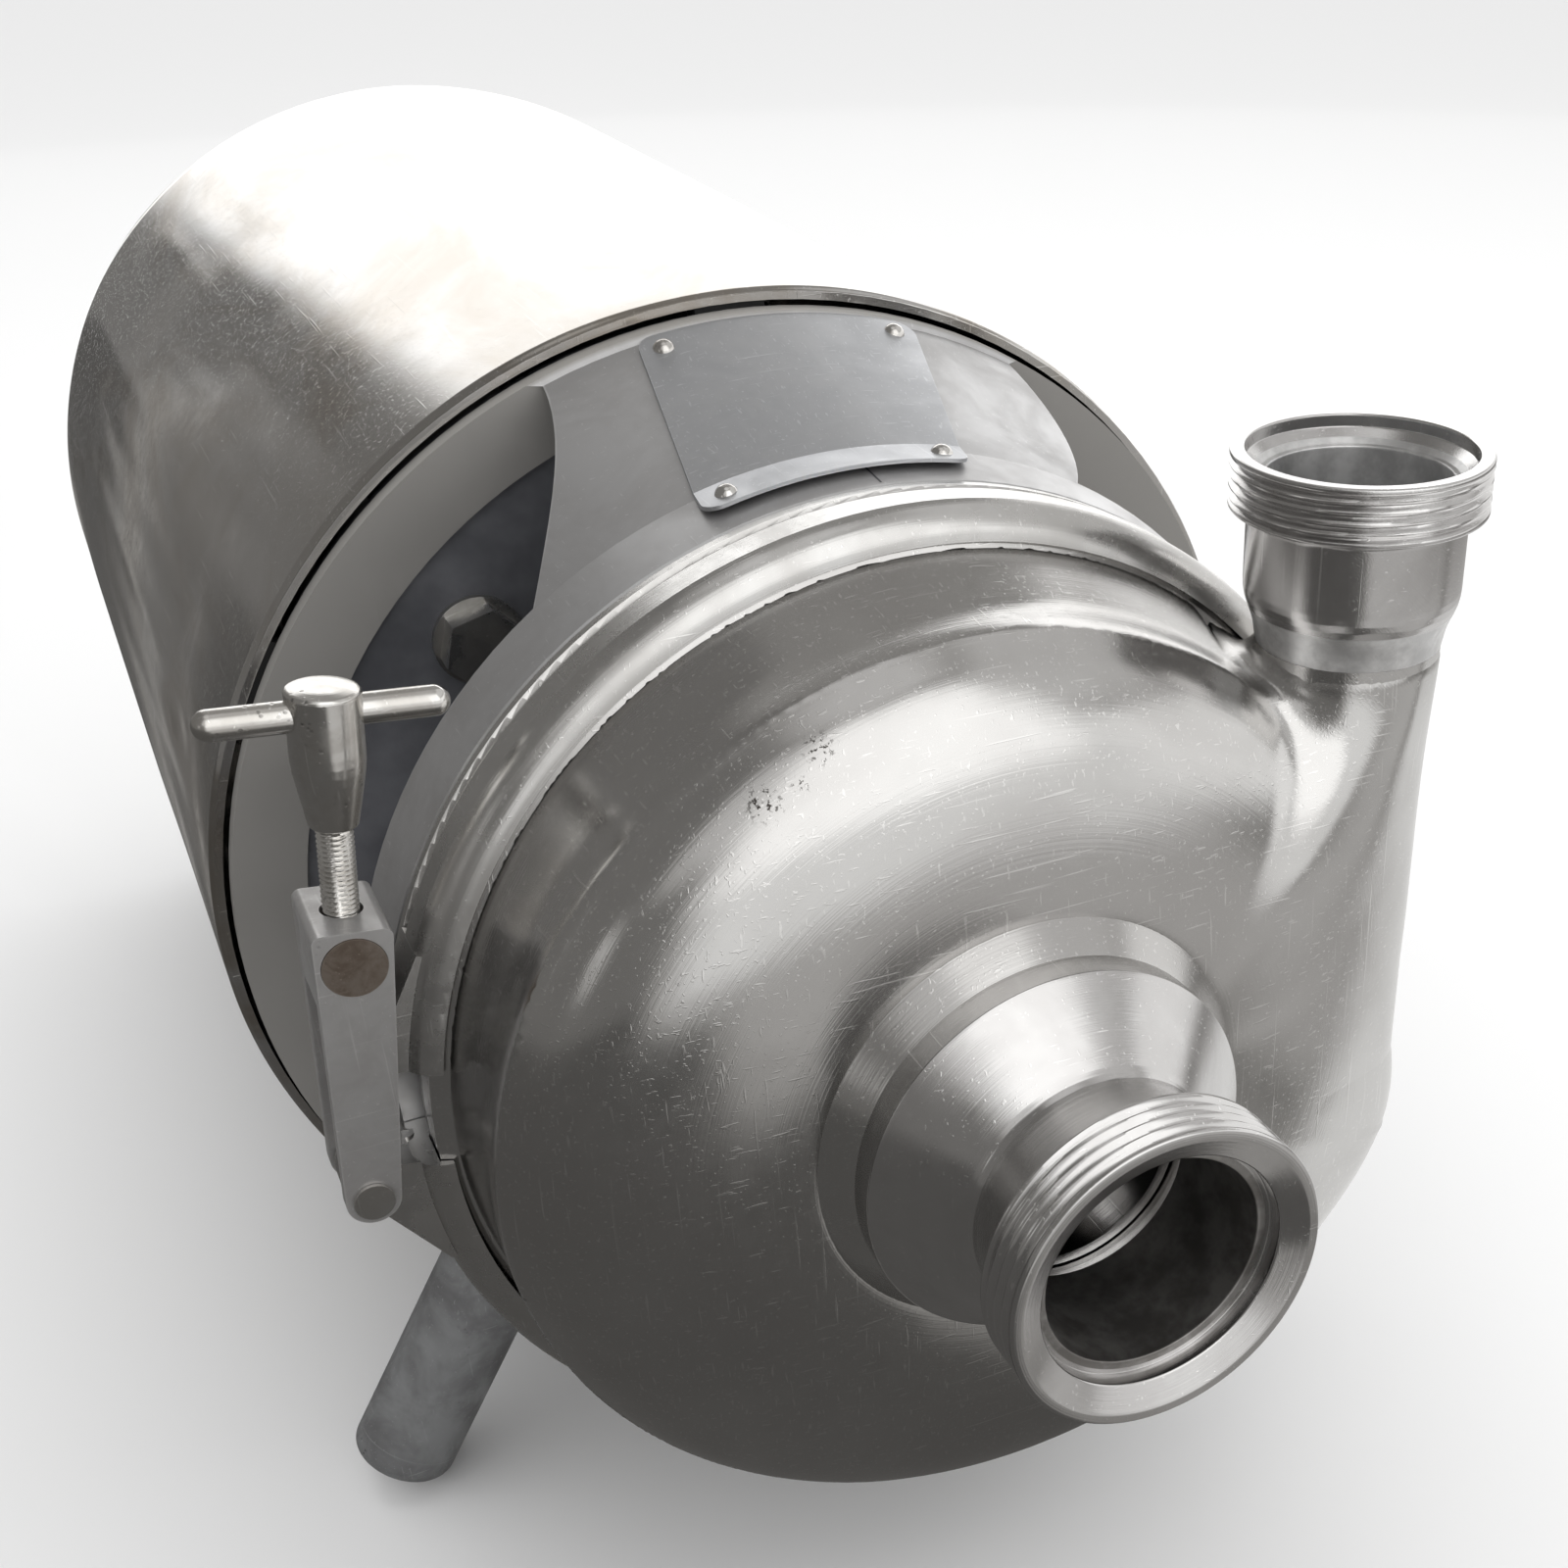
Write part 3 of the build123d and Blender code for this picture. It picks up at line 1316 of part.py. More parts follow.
def shroud_rear_cover():
    """Dished end cover with a ring of radial vents."""
    rim_r = shroud_bore_r - sliding_fit
    dish_r = rear_dish_r
    wall = rear_cover_wall
    front = shroud_end - rear_cover_rim
    flat_y = front + rear_cover_dish
    cover = turned([
        (0, flat_y), (dish_r, flat_y), (rim_r - wall, shroud_end - wall), (rim_r - wall, front),
        (rim_r, front),
        (rim_r, shroud_end), (dish_r + wall, shroud_end), (dish_r - wall, cover_face_y), (0, cover_face_y),
    ])
    slot = SlotOverall(vent_length, vent_width)
    cutter = Rot(90, 0, 0) * extrude(slot, rear_cover_rim * 2)
    cutter = Pos(vent_outer_r - vent_length / 2, shroud_end + wall, 0) * cutter
    for index in range(vent_slots):
        cover -= at_angle(cutter, index * full_turn / vent_slots)
    for hole in cover_stud_places(along_y(cover_stud_d + 2 * sliding_fit, front, shroud_end + wall)):
        cover -= hole
    entry = along_y(gland_thread_d + 2 * running_fit, front, shroud_end + wall)
    return cover - at_angle(Pos(gland_r, 0, 0) * entry, gland_angle)


def cover_stud_set():
    """Long studs from the end shield to the rear cover."""
    inner_face = cover_face_y - rear_cover_wall
    stud = along_y(cover_stud_d, shield_y, cover_face_y + cap_nut_height / 2)
    collar = along_y(cap_nut_d, inner_face - cover_stud_d, inner_face)
    return Compound(cover_stud_places(stud + collar))


def cover_cap_nuts():
    """Domed cap nuts over the stud ends."""
    half = cap_nut_height / 2
    dome = Pos(0, 0, half) * Cylinder(cap_nut_flats / 2 - edge_break, half, align=on_base)
    nut = hexagon_head(cap_nut_flats, half) + dome
    nut = fillet(nut.edges().sort_by(Axis.Z)[-1], cap_nut_round)
    nut -= Cylinder(cover_stud_d / 2, half, align=on_base)
    return Compound(cover_stud_places(Pos(0, cover_face_y, 0) * Rot(-90, 0, 0) * nut))


def cable_gland():
    """Bare cable gland in the rear cover."""
    hexagon_height = gland_length * gland_hexagon_share
    hexagon = hexagon_head(gland_flats, hexagon_height)
    dome = Cylinder(gland_flats / 2 - edge_break, gland_length / 2, align=on_base)
    dome = Pos(0, 0, hexagon_height) * chamfer(dome.edges().sort_by(Axis.Z)[-1], 2 * edge_break)
    thread = Cylinder(gland_thread_d / 2, rear_cover_wall + 2 * edge_break, align=from_top)
    body = hexagon + dome + thread - Cylinder(gland_bore_d / 2, gland_length * 2)
    return at_angle(Pos(gland_r, cover_face_y, 0) * Rot(-90, 0, 0) * body, gland_angle)


def rear_leg_y():
    """Station of the rear legs, in the middle of the frame's rear saddle."""
    return shield_y - frame_saddle_width / 2


def foot_end_z():
    """Height of the middle of a foot's end face, from the floor and the rounded edge."""
    splay = radians(leg_splay)
    flat_r = leg_tube_d / 2 - foot_round_r
    return floor_z + foot_round_r - foot_round_r * cos(splay) + flat_r * sin(splay)


def leg_cylinder(diameter, foot_x, y, side, low=0.0, high=leg_reach):
    """Cylinder along a leg, from a height above its foot's end to another."""
    rod = Pos(0, 0, low) * Cylinder(diameter / 2, high - low, align=on_base)
    return Pos(side * foot_x, y, foot_end_z()) * Rot(0, -side * leg_splay, 0) * rod


def support_leg(foot_x, y, side, carrier_d, carrier_rear_d, start, end):
    """Tube from the foot cap up to a coped seat on its carrier."""
    body = leg_cylinder(leg_tube_d, foot_x, y, side, foot_cap_length)
    body -= leg_cylinder(leg_tube_d - 2 * leg_tube_wall, foot_x, y, side, 0, leg_reach + cut_over)
    seat_r = carrier_d / 2 + weld_gap
    rear_seat_r = carrier_rear_d / 2 + weld_gap
    return body - turned([(0, start), (seat_r, start), (rear_seat_r, end), (0, end)])


def foot_cap(foot_x, y, side):
    """Rounded plug that closes the leg's end, with a stem inside the tube."""
    cap = Cylinder(leg_tube_d / 2, foot_cap_length, align=on_base)
    cap = fillet(cap.edges().sort_by(Axis.Z)[0], foot_round_r)
    stem_r = leg_tube_d / 2 - leg_tube_wall - running_fit
    cap += Pos(0, 0, foot_cap_length) * Cylinder(stem_r, foot_cap_length, align=on_base)
    return Pos(side * foot_x, y, foot_end_z()) * Rot(0, -side * leg_splay, 0) * cap


def front_leg(side):
    reach = leg_tube_d / 2 + leg_seat_margin
    start = front_leg_y - reach
    end = front_leg_y + reach
    start_d = bell_radius(start) * 2
    end_d = bell_radius(end) * 2
    return support_leg(front_leg_x, front_leg_y, side, start_d, end_d, start, end)


def rear_leg(side):
    reach = leg_tube_d / 2 + leg_seat_margin
    y = rear_leg_y()
    return support_leg(rear_leg_x, y, side, motor_frame_d, motor_frame_d, y - reach, y + reach)


def build():
    """Write every node."""
    os.makedirs("parts", exist_ok=True)
    save("inlet_union", inlet_union())
    save("pump_casing", pump_casing())
    save("outlet_union", outlet_union())
    save("casing_gasket", casing_gasket())
    save("back_plate", back_plate())
    save("seal_cap", seal_cap())
    save("seal_cap_screws", seal_cap_screws())
    save("stationary_seal_ring", stationary_seal_ring())
    save("seal_spring", seal_spring())
    save("lantern", lantern())
    save("nameplate", nameplate())
    save("nameplate_rivets", nameplate_rivets())
    save("motor_flange", motor_flange())
    save("flange_bolts", flange_bolt_set())
    save("lantern_ring_screws", lantern_ring_screws())
    save("motor_frame", motor_frame())
    save("terminal_box", terminal_box())
    save("stator_core", stator_core())
    save("front_bearing", bearing(front_bearing_y))
    save("rear_bearing", bearing(rear_bearing_y))
    save("rear_end_shield", rear_end_shield())
    save("motor_shroud", motor_shroud())
    save("shroud_pads", shroud_pads())
    save("shroud_rear_cover", shroud_rear_cover())
    save("cover_studs", cover_stud_set())
    save("cover_cap_nuts", cover_cap_nuts())
    save("cable_gland", cable_gland())
    for name, side in (("left", -1), ("right", 1)):
        save("front_leg_" + name, front_leg(side))
        save("rear_leg_" + name, rear_leg(side))
        save("front_foot_" + name, foot_cap(front_leg_x, front_leg_y, side))
        save("rear_foot_" + name, foot_cap(rear_leg_x, rear_leg_y(), side))
    save("impeller", impeller())
    save("impeller_nut", impeller_nut())
    save("rotary_seal_ring", rotary_seal_ring())
    save("stub_shaft", stub_shaft())
    save("shaft_clamp", shaft_clamp())
    save("shaft_clamp_screw", shaft_clamp_screw())
    save("drip_slinger", drip_slinger())
    save("motor_shaft", motor_shaft())
    save("rotor_core", rotor_core())
    save("cooling_fan", cooling_fan())
    save("clamp_upper", clamp_upper())
    save("clamp_lower", clamp_lower())
    save("clamp_upper_lug", clamp_upper_lug())
    save("clamp_lower_lug", clamp_lower_lug())
    save("clamp_hinge_pin", clamp_hinge_pin())
    save("clamp_link", clamp_link())
    save("link_pivot_pin", link_pivot_pin())
    save("barrel_nut", barrel_nut())
    save("clamp_screw_tip", clamp_screw_tip())
    save("clamp_screw", clamp_screw())
    save("cross_bar", cross_bar())


build()
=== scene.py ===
"""Looks of a sanitary centrifugal pump, in metres, in the frame of its solids."""

from math import radians

import bpy
import numpy as np
from mathutils import Euler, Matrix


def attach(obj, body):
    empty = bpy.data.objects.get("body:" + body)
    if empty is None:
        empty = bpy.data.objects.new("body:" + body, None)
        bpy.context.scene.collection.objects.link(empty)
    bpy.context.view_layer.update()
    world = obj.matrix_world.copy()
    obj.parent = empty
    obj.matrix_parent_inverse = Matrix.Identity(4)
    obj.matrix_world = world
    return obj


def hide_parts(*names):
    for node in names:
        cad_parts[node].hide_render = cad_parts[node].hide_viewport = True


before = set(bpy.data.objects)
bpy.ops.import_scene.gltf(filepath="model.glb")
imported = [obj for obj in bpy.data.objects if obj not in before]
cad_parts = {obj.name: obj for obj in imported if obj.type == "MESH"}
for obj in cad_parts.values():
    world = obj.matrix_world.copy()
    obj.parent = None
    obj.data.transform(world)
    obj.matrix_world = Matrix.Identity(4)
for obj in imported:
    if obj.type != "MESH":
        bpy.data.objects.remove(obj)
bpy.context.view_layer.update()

MM = 0.001

# Sizes of the pump that the new pieces lie on, in millimetres and degrees
inlet_thread_r = 47.5
inlet_bore_r = 33.0
outlet_thread_r = 39.0
outlet_bore_r = 28.0
outlet_x = 132.6
outlet_y = 122.8
outlet_root_z = 113.0
outlet_pipe_r = 28.7
outlet_side_x = 156.5
volute_y = 116.0
volute_root_r = 58.0
volute_front = 35.4
volute_back = 34.0
volute_inside = 20.0
hub_r = 60.6
hub_y = 63.3
pivot_x = -178.7
pivot_z = -11.0
clamp_y = 165.26
screw_lean = 6.4
screw_thread_r = 5.0
shroud_r = 196.4
shroud_front_y = 288.9
shroud_end_y = 800.4
band_r = 164.5
band_y = 180.3
band_slope = 2.5 / 23.2
skin_lift = 0.22

# Camera and studio
camera_place = (-0.2147, -0.3415, 0.3489)
camera_yaw = 28.10
camera_pitch = 31.69
camera_lens = 45.36
camera_shift = (-0.1786, 0.1126)
floor_z = -217.0 * MM
floor_color = (0.84, 0.84, 0.84)

# Reflection tent, row by row: span of turn with its softness, span of height with its softness, and light.
# Turn 0 is 110 degrees round from the shaft's far end toward the outlet side.
tent_zero_turn = 110.0
tent_reach = 3500.0
tent_panels = (
    ((-200.0, 200.0), 1.0, (-2.0, 99.0), 2.0, 0.19),
    ((-132.0, -60.0), 8.0, (32.0, 72.0), 9.0, 0.32),
    ((27.0, 100.0), 12.0, (10.0, 70.0), 9.0, 1.5),
    ((84.0, 126.0), 9.0, (26.0, 70.0), 9.0, 0.7),
    ((18.0, 100.0), 12.0, (-9.0, 14.0), 6.0, 0.95),
    ((-66.0, 32.0), 9.0, (-4.0, 27.0), 5.0, 1.1),
    ((-62.0, 32.0), 12.0, (27.0, 72.0), 9.0, 0.66),
    ((-118.5, -58.0), 2.2, (-7.0, 34.0), 4.0, 1.75),
    ((-200.0, 200.0), 1.0, (72.0, 99.0), 8.0, 0.72),
    ((133.0, 147.0), 4.0, (9.0, 24.0), 4.0, 0.6),
    ((-126.5, -124.5), 0.9, (-16.0, 12.0), 5.0, 0.42),
    ((-129.4, -128.4), 0.5, (-20.0, 4.0), 5.0, 0.36),
    ((-70.0, -12.0), 9.0, (-60.0, -10.0), 7.0, 0.85),
    ((-12.0, 88.0), 9.0, (-34.0, -8.0), 6.0, 0.55),
    ((-36.0, 56.0), 12.0, (-80.0, -34.0), 9.0, 0.34),
)
tent_floor_light = 0.10
tent_shade_color = (1.0, 0.97, 0.93)
tent_light_color = (1.0, 0.995, 0.985)


# Shader groups

def new_group(name, inputs, outputs):
    """Empty shader group with named sockets; returns the group, its input node and its output node."""
    group = bpy.data.node_groups.new(name, "ShaderNodeTree")
    for label, kind, value in inputs:
        socket = group.interface.new_socket(label, in_out="INPUT", socket_type=kind)
        if value is not None:
            socket.default_value = value
    for label, kind in outputs:
        group.interface.new_socket(label, in_out="OUTPUT", socket_type=kind)
    return group, group.nodes.new("NodeGroupInput"), group.nodes.new("NodeGroupOutput")


def add_node(tree, kind, **values):
    """New node with plain attributes, and with input values given by socket name or number."""
    node = tree.nodes.new(kind)
    for key, value in values.items():
        if key == "inputs":
            for socket, number in value.items():
                node.inputs[socket].default_value = number
        else:
            setattr(node, key, value)
    return node


def math_node(tree, operation, first, second=None, clamp=False):
    """Math node on two sockets or numbers; returns its output."""
    node = add_node(tree, "ShaderNodeMath", operation=operation, use_clamp=clamp)
    for index, item in enumerate((first, second)):
        if isinstance(item, (int, float)):
            node.inputs[index].default_value = item
        elif item is not None:
            tree.links.new(item, node.inputs[index])
    return node.outputs[0]


def remap(tree, value, low, high, to_low=0.0, to_high=1.0):
    """Smooth step of a value between two limits."""
    node = add_node(tree, "ShaderNodeMapRange", interpolation_type="SMOOTHSTEP")
    tree.links.new(value, node.inputs["Value"])
    for socket, number in (("From Min", low), ("From Max", high), ("To Min", to_low), ("To Max", to_high)):
        node.inputs[socket].default_value = number
    return node.outputs["Result"]


def stretched(tree, vector, scale, turn=(0.0, 0.0, 0.0)):
    """Vector scaled apart on its three axes, after a turn in degrees."""
    node = add_node(tree, "ShaderNodeMapping")
    node.inputs["Scale"].default_value = scale
    node.inputs["Rotation"].default_value = [radians(angle) for angle in turn]
    tree.links.new(vector, node.inputs["Vector"])
    return node.outputs["Vector"]


def noise(tree, vector, scale, detail=3.0, roughness=0.5, distortion=0.0):
    node = add_node(tree, "ShaderNodeTexNoise")
    node.inputs["Scale"].default_value = scale
    node.inputs["Detail"].default_value = detail
    node.inputs["Roughness"].default_value = roughness
    node.inputs["Distortion"].default_value = distortion
    tree.links.new(vector, node.inputs["Vector"])
    return node.outputs["Fac"]


def edge_wear_and_highlight_group():
    """Mask of the outer edges: where the rounded normal leaves the true one, broken up by noise. Steel
    lightens its colour with it, a painted highlight along the edges; paint shows rubbed edges with it.
    """
    group, entry, leave = new_group(
        "edge wear and painted highlight",
        [("Vector", "NodeSocketVector", None), ("Width", "NodeSocketFloat", 0.0012),
         ("Breakup", "NodeSocketFloat", 90.0)],
        [("Mask", "NodeSocketFloat")])
    bevel = add_node(group, "ShaderNodeBevel", samples=4)
    group.links.new(entry.outputs["Width"], bevel.inputs["Radius"])
    geometry = add_node(group, "ShaderNodeNewGeometry")
    dot = add_node(group, "ShaderNodeVectorMath", operation="DOT_PRODUCT")
    group.links.new(bevel.outputs["Normal"], dot.inputs[0])
    group.links.new(geometry.outputs["Normal"], dot.inputs[1])
    edge = remap(group, dot.outputs["Value"], 0.995, 0.88)
    patches = add_node(group, "ShaderNodeTexNoise", inputs={"Detail": 3.0})
    group.links.new(entry.outputs["Vector"], patches.inputs["Vector"])
    group.links.new(entry.outputs["Breakup"], patches.inputs["Scale"])
    broken = remap(group, patches.outputs["Fac"], 0.3, 0.6, 0.25, 1.0)
    group.links.new(math_node(group, "MULTIPLY", edge, broken, clamp=True), leave.inputs["Mask"])
    return group


def scratch_group():
    """Thin straight scratches in three directions, as a mask from 0 to 1."""
    group, entry, leave = new_group(
        "fine scratches",
        [("Vector", "NodeSocketVector", None), ("Density", "NodeSocketFloat", 0.5)],
        [("Mask", "NodeSocketFloat")])
    limit = math_node(group, "MULTIPLY_ADD", entry.outputs["Density"], -0.12)
    limit.node.inputs[2].default_value = 0.74
    total = None
    directions = (
        ((900, 900, 14), (18, 36, 0)), ((16, 1100, 1000), (0, 24, 61)), ((1000, 22, 900), (52, 0, 27)),
    )
    for scale, turn in directions:
        lines = noise(group, stretched(group, entry.outputs["Vector"], scale, turn), 1.0, 1.0)
        above = math_node(group, "SUBTRACT", lines, limit)
        mask = math_node(group, "MULTIPLY", above, 14.0, clamp=True)
        total = mask if total is None else math_node(group, "MAXIMUM", total, mask)
    group.links.new(total, leave.inputs["Mask"])
    return group


def turned_marks_group():
    """Tool marks round the shaft axis: noise over the radius and the height, the same at every angle."""
    group, entry, leave = new_group(
        "turned marks",
        [("Vector", "NodeSocketVector", None), ("Scale", "NodeSocketFloat", 1500.0)],
        [("Height", "NodeSocketFloat")])
    parts = add_node(group, "ShaderNodeSeparateXYZ")
    group.links.new(entry.outputs["Vector"], parts.inputs[0])
    flat = add_node(group, "ShaderNodeCombineXYZ")
    group.links.new(parts.outputs["X"], flat.inputs["X"])
    group.links.new(parts.outputs["Z"], flat.inputs["Y"])
    radius = add_node(group, "ShaderNodeVectorMath", operation="LENGTH")
    group.links.new(flat.outputs[0], radius.inputs[0])
    place = add_node(group, "ShaderNodeCombineXYZ")
    group.links.new(radius.outputs["Value"], place.inputs["X"])
    group.links.new(parts.outputs["Y"], place.inputs["Y"])
    marks = add_node(group, "ShaderNodeTexNoise", noise_dimensions="2D",
                     inputs={"Detail": 2.0, "Roughness": 0.6})
    group.links.new(place.outputs[0], marks.inputs["Vector"])
    group.links.new(entry.outputs["Scale"], marks.inputs["Scale"])
    group.links.new(marks.outputs["Fac"], leave.inputs["Height"])
    return group


def pit_group():
    """Small round pits in clusters: cells near their centres, kept where a broad noise is high."""
    group, entry, leave = new_group(
        "pits",
        [("Vector", "NodeSocketVector", None), ("Scale", "NodeSocketFloat", 420.0),
         ("Cover", "NodeSocketFloat", 0.5)],
        [("Mask", "NodeSocketFloat")])
    cells = add_node(group, "ShaderNodeTexVoronoi", feature="F1")
    group.links.new(entry.outputs["Vector"], cells.inputs["Vector"])
    group.links.new(entry.outputs["Scale"], cells.inputs["Scale"])
    dots = remap(group, cells.outputs["Distance"], 0.32, 0.12)
    clusters = noise(group, entry.outputs["Vector"], 34.0, 4.0, 0.6)
    limit = math_node(group, "SUBTRACT", 1.0, entry.outputs["Cover"])
    above = math_node(group, "SUBTRACT", clusters, limit)
    kept = math_node(group, "MULTIPLY", above, 8.0, clamp=True)
    group.links.new(math_node(group, "MULTIPLY", dots, kept), leave.inputs["Mask"])
    return group


edge_wear_and_highlight = edge_wear_and_highlight_group()
fine_scratches = scratch_group()
turned_marks = turned_marks_group()
pits = pit_group()


def place_group(tree, group, vector, **values):
    """Group node in a material, fed with a vector and its own values."""
    node = add_node(tree, "ShaderNodeGroup", node_tree=group)
    tree.links.new(vector, node.inputs["Vector"])
    for label, value in values.items():
        node.inputs[label.replace("_", " ").title()].default_value = value
    return node


def mix_colors(tree, first, second, factor):
    """Colour between two, each a socket or a tuple, by a mask."""
    node = add_node(tree, "ShaderNodeMix", data_type="RGBA")
    for socket, item in ((node.inputs[6], first), (node.inputs[7], second)):
        if isinstance(item, tuple):
            socket.default_value = (*item, 1.0)
        else:
            tree.links.new(item, socket)
    tree.links.new(factor, node.inputs[0])
    return node.outputs[2]


def bump(tree, height, distance, strength=1.0, below=None):
    """Bump from a height in 0 to 1, as deep as a distance in metres, over another bump."""
    node = add_node(tree, "ShaderNodeBump", inputs={"Strength": strength, "Distance": distance})
    tree.links.new(height, node.inputs["Height"])
    if below is not None:
        tree.links.new(below, node.inputs["Normal"])
    return node.outputs["Normal"]


def new_material(name):
    """Material with an empty Principled shader; returns material, tree, shader and object coordinates."""
    material = bpy.data.materials.new(name)
    material.use_nodes = True
    tree = material.node_tree
    shader = tree.nodes["Principled BSDF"]
    coordinates = add_node(tree, "ShaderNodeTexCoord").outputs["Object"]
    return material, tree, shader, coordinates


def near_axis(tree, place, center, kept, radius):
    """Mask that is 1 inside a bore: distance from its axis, which runs where the kept axes are 0."""
    moved = add_node(tree, "ShaderNodeVectorMath", operation="SUBTRACT")
    tree.links.new(place, moved.inputs[0])
    moved.inputs[1].default_value = center
    flat = add_node(tree, "ShaderNodeVectorMath", operation="MULTIPLY")
    tree.links.new(moved.outputs[0], flat.inputs[0])
    flat.inputs[1].default_value = kept
    length = add_node(tree, "ShaderNodeVectorMath", operation="LENGTH")
    tree.links.new(flat.outputs[0], length.inputs[0])
    return remap(tree, length.outputs["Value"], radius + 0.0002, radius - 0.0002)


def spots(tree, place, centers):
    """Small black marks: noise kept within a few millimetres of given places."""
    fine = noise(tree, place, 620.0, 3.0, 0.7)
    total = None
    for x, y, z, reach in centers:
        away = add_node(tree, "ShaderNodeVectorMath", operation="DISTANCE")
        tree.links.new(place, away.inputs[0])
        away.inputs[1].default_value = (x * MM, y * MM, z * MM)
        near = remap(tree, away.outputs["Value"], reach * MM, 0.3 * reach * MM)
        mark = math_node(tree, "MULTIPLY", near, remap(tree, fine, 0.56, 0.60))
        total = mark if total is None else math_node(tree, "MAXIMUM", total, mark)
    return total


def brighter(color, factor):
    """Colour times a factor, kept at 1 or below."""
    return tuple(min(1.0, part * factor) for part in color)


def steel(name, light, dark, rough, rough_spread, tint_scale=9.0, scratch=0.4, marks=0.0, pitting=0.0,
          edge=0.0006, metal=1.0, ring=None, bore=None, stain=None, marked=()):
    """Bare steel: a broad tint, scratches, turned marks, pits and edges lightened as a painted highlight,
    broken up like wear. A stain colours broad patches, marked places get black marks, a bore gets a mottled
    colour and more roughness inside (painted shade in the inlet, painted light in the outlet), and a ring is
    dull behind a station."""
    material, tree, shader, place = new_material(name)
    shader.inputs["Metallic"].default_value = metal
    broad = remap(tree, noise(tree, place, tint_scale, 4.0, 0.6, 0.4), 0.32, 0.68)
    color = mix_colors(tree, light, dark, broad)
    lines = place_group(tree, fine_scratches, place, density=scratch).outputs["Mask"]
    color = mix_colors(tree, color, brighter(light, 1.25), math_node(tree, "MULTIPLY", lines, 0.5))
    fine = noise(tree, place, 160.0, 3.0, 0.7)
    both = math_node(tree, "ADD", math_node(tree, "MULTIPLY", fine, 0.5),
                     math_node(tree, "MULTIPLY", broad, 0.5))
    roughness = remap(tree, both, 0.2, 0.8, rough - rough_spread, rough + rough_spread)
    normal = bump(tree, lines, 0.00004, 0.5)
    normal = bump(tree, fine, 0.00003, 0.5, normal)
    if marks:
        turned = place_group(tree, turned_marks, place, scale=marks).outputs["Height"]
        normal = bump(tree, turned, 0.00004, 0.7, normal)
    if pitting:
        holes = place_group(tree, pits, place, cover=pitting).outputs["Mask"]
        color = mix_colors(tree, color, brighter(dark, 0.25), math_node(tree, "MULTIPLY", holes, 0.8))
        inverse = math_node(tree, "SUBTRACT", 1.0, holes)
        normal = bump(tree, inverse, 0.0002, 0.6, normal)
    if edge:
        # Brighter colour along the outer edges: a painted highlight, broken up by noise like wear.
        worn = place_group(tree, edge_wear_and_highlight, place, width=edge).outputs["Mask"]
        color = mix_colors(tree, color, brighter(light, 1.3), math_node(tree, "MULTIPLY", worn, 0.6))
    if stain:
        patches = noise(tree, stretched(tree, place, (14.0, 5.0, 14.0)), 1.0, 5.0, 0.62, 0.8)
        amount = math_node(tree, "MULTIPLY", remap(tree, patches, 0.42, 0.66), 0.8)
        color = mix_colors(tree, color, stain, amount)
    if marked:
        color = mix_colors(tree, color, (0.05, 0.045, 0.04), spots(tree, place, marked))
    if bore:
        # Inside a bore the colour turns to its own mottled pair: painted shade in the inlet's bore, painted
        # light in the outlet's.
        inner = near_axis(tree, place, bore["center"], bore["kept"], bore["radius"])
        mottle = remap(tree, noise(tree, place, 70.0, 4.0, 0.65), 0.35, 0.65)
        color = mix_colors(tree, color, mix_colors(tree, bore["light"], bore["dark"], mottle), inner)
        raised = add_node(tree, "ShaderNodeMapRange", inputs={"To Min": 0.0, "To Max": bore_roughening})
        tree.links.new(inner, raised.inputs["Value"])
        roughness = math_node(tree, "ADD", roughness, raised.outputs["Result"])
    if ring:
        parts = add_node(tree, "ShaderNodeSeparateXYZ")
        tree.links.new(place, parts.inputs[0])
        dull = remap(tree, parts.outputs["Y"], ring["station"] - 0.0006, ring["station"])
        color = mix_colors(tree, color, ring["color"], dull)
        metallic = add_node(tree, "ShaderNodeMapRange", inputs={"To Min": metal, "To Max": ring["metal"]})
        tree.links.new(dull, metallic.inputs["Value"])
        tree.links.new(metallic.outputs["Result"], shader.inputs["Metallic"])
    tree.links.new(color, shader.inputs["Base Color"])
    tree.links.new(roughness, shader.inputs["Roughness"])
    tree.links.new(normal, shader.inputs["Normal"])
    return material


def paint(name, color, worn_color, rough):
    """Thick paint with orange peel, dust in broad patches and rubbed edges."""
    material, tree, shader, place = new_material(name)
    broad = remap(tree, noise(tree, place, 14.0, 5.0, 0.65), 0.35, 0.7)
    dusty = tuple(part * 1.7 + 0.02 for part in color)
    tint = mix_colors(tree, color, dusty, broad)
    worn = place_group(tree, edge_wear_and_highlight, place, width=0.001).outputs["Mask"]
    tint = mix_colors(tree, tint, worn_color, worn)
    peel = noise(tree, place, 900.0, 2.0)
    tree.links.new(tint, shader.inputs["Base Color"])
    tree.links.new(remap(tree, broad, 0.0, 1.0, rough, rough + 0.2), shader.inputs["Roughness"])
    tree.links.new(bump(tree, peel, 0.00015, 0.4), shader.inputs["Normal"])
    return material


def plain(name, color, rough, grain=500.0, depth=0.0001):
    """Dull rubber, carbon or moulded plastic with a fine grain."""
    material, tree, shader, place = new_material(name)
    fine = noise(tree, place, grain, 3.0, 0.6)
    tint = mix_colors(tree, tuple(part * 0.8 for part in color), tuple(part * 1.3 for part in color), fine)
    tree.links.new(tint, shader.inputs["Base Color"])
    tree.links.new(remap(tree, fine, 0.3, 0.7, rough - 0.08, rough + 0.08), shader.inputs["Roughness"])
    tree.links.new(bump(tree, fine, depth, 0.5), shader.inputs["Normal"])
    return material


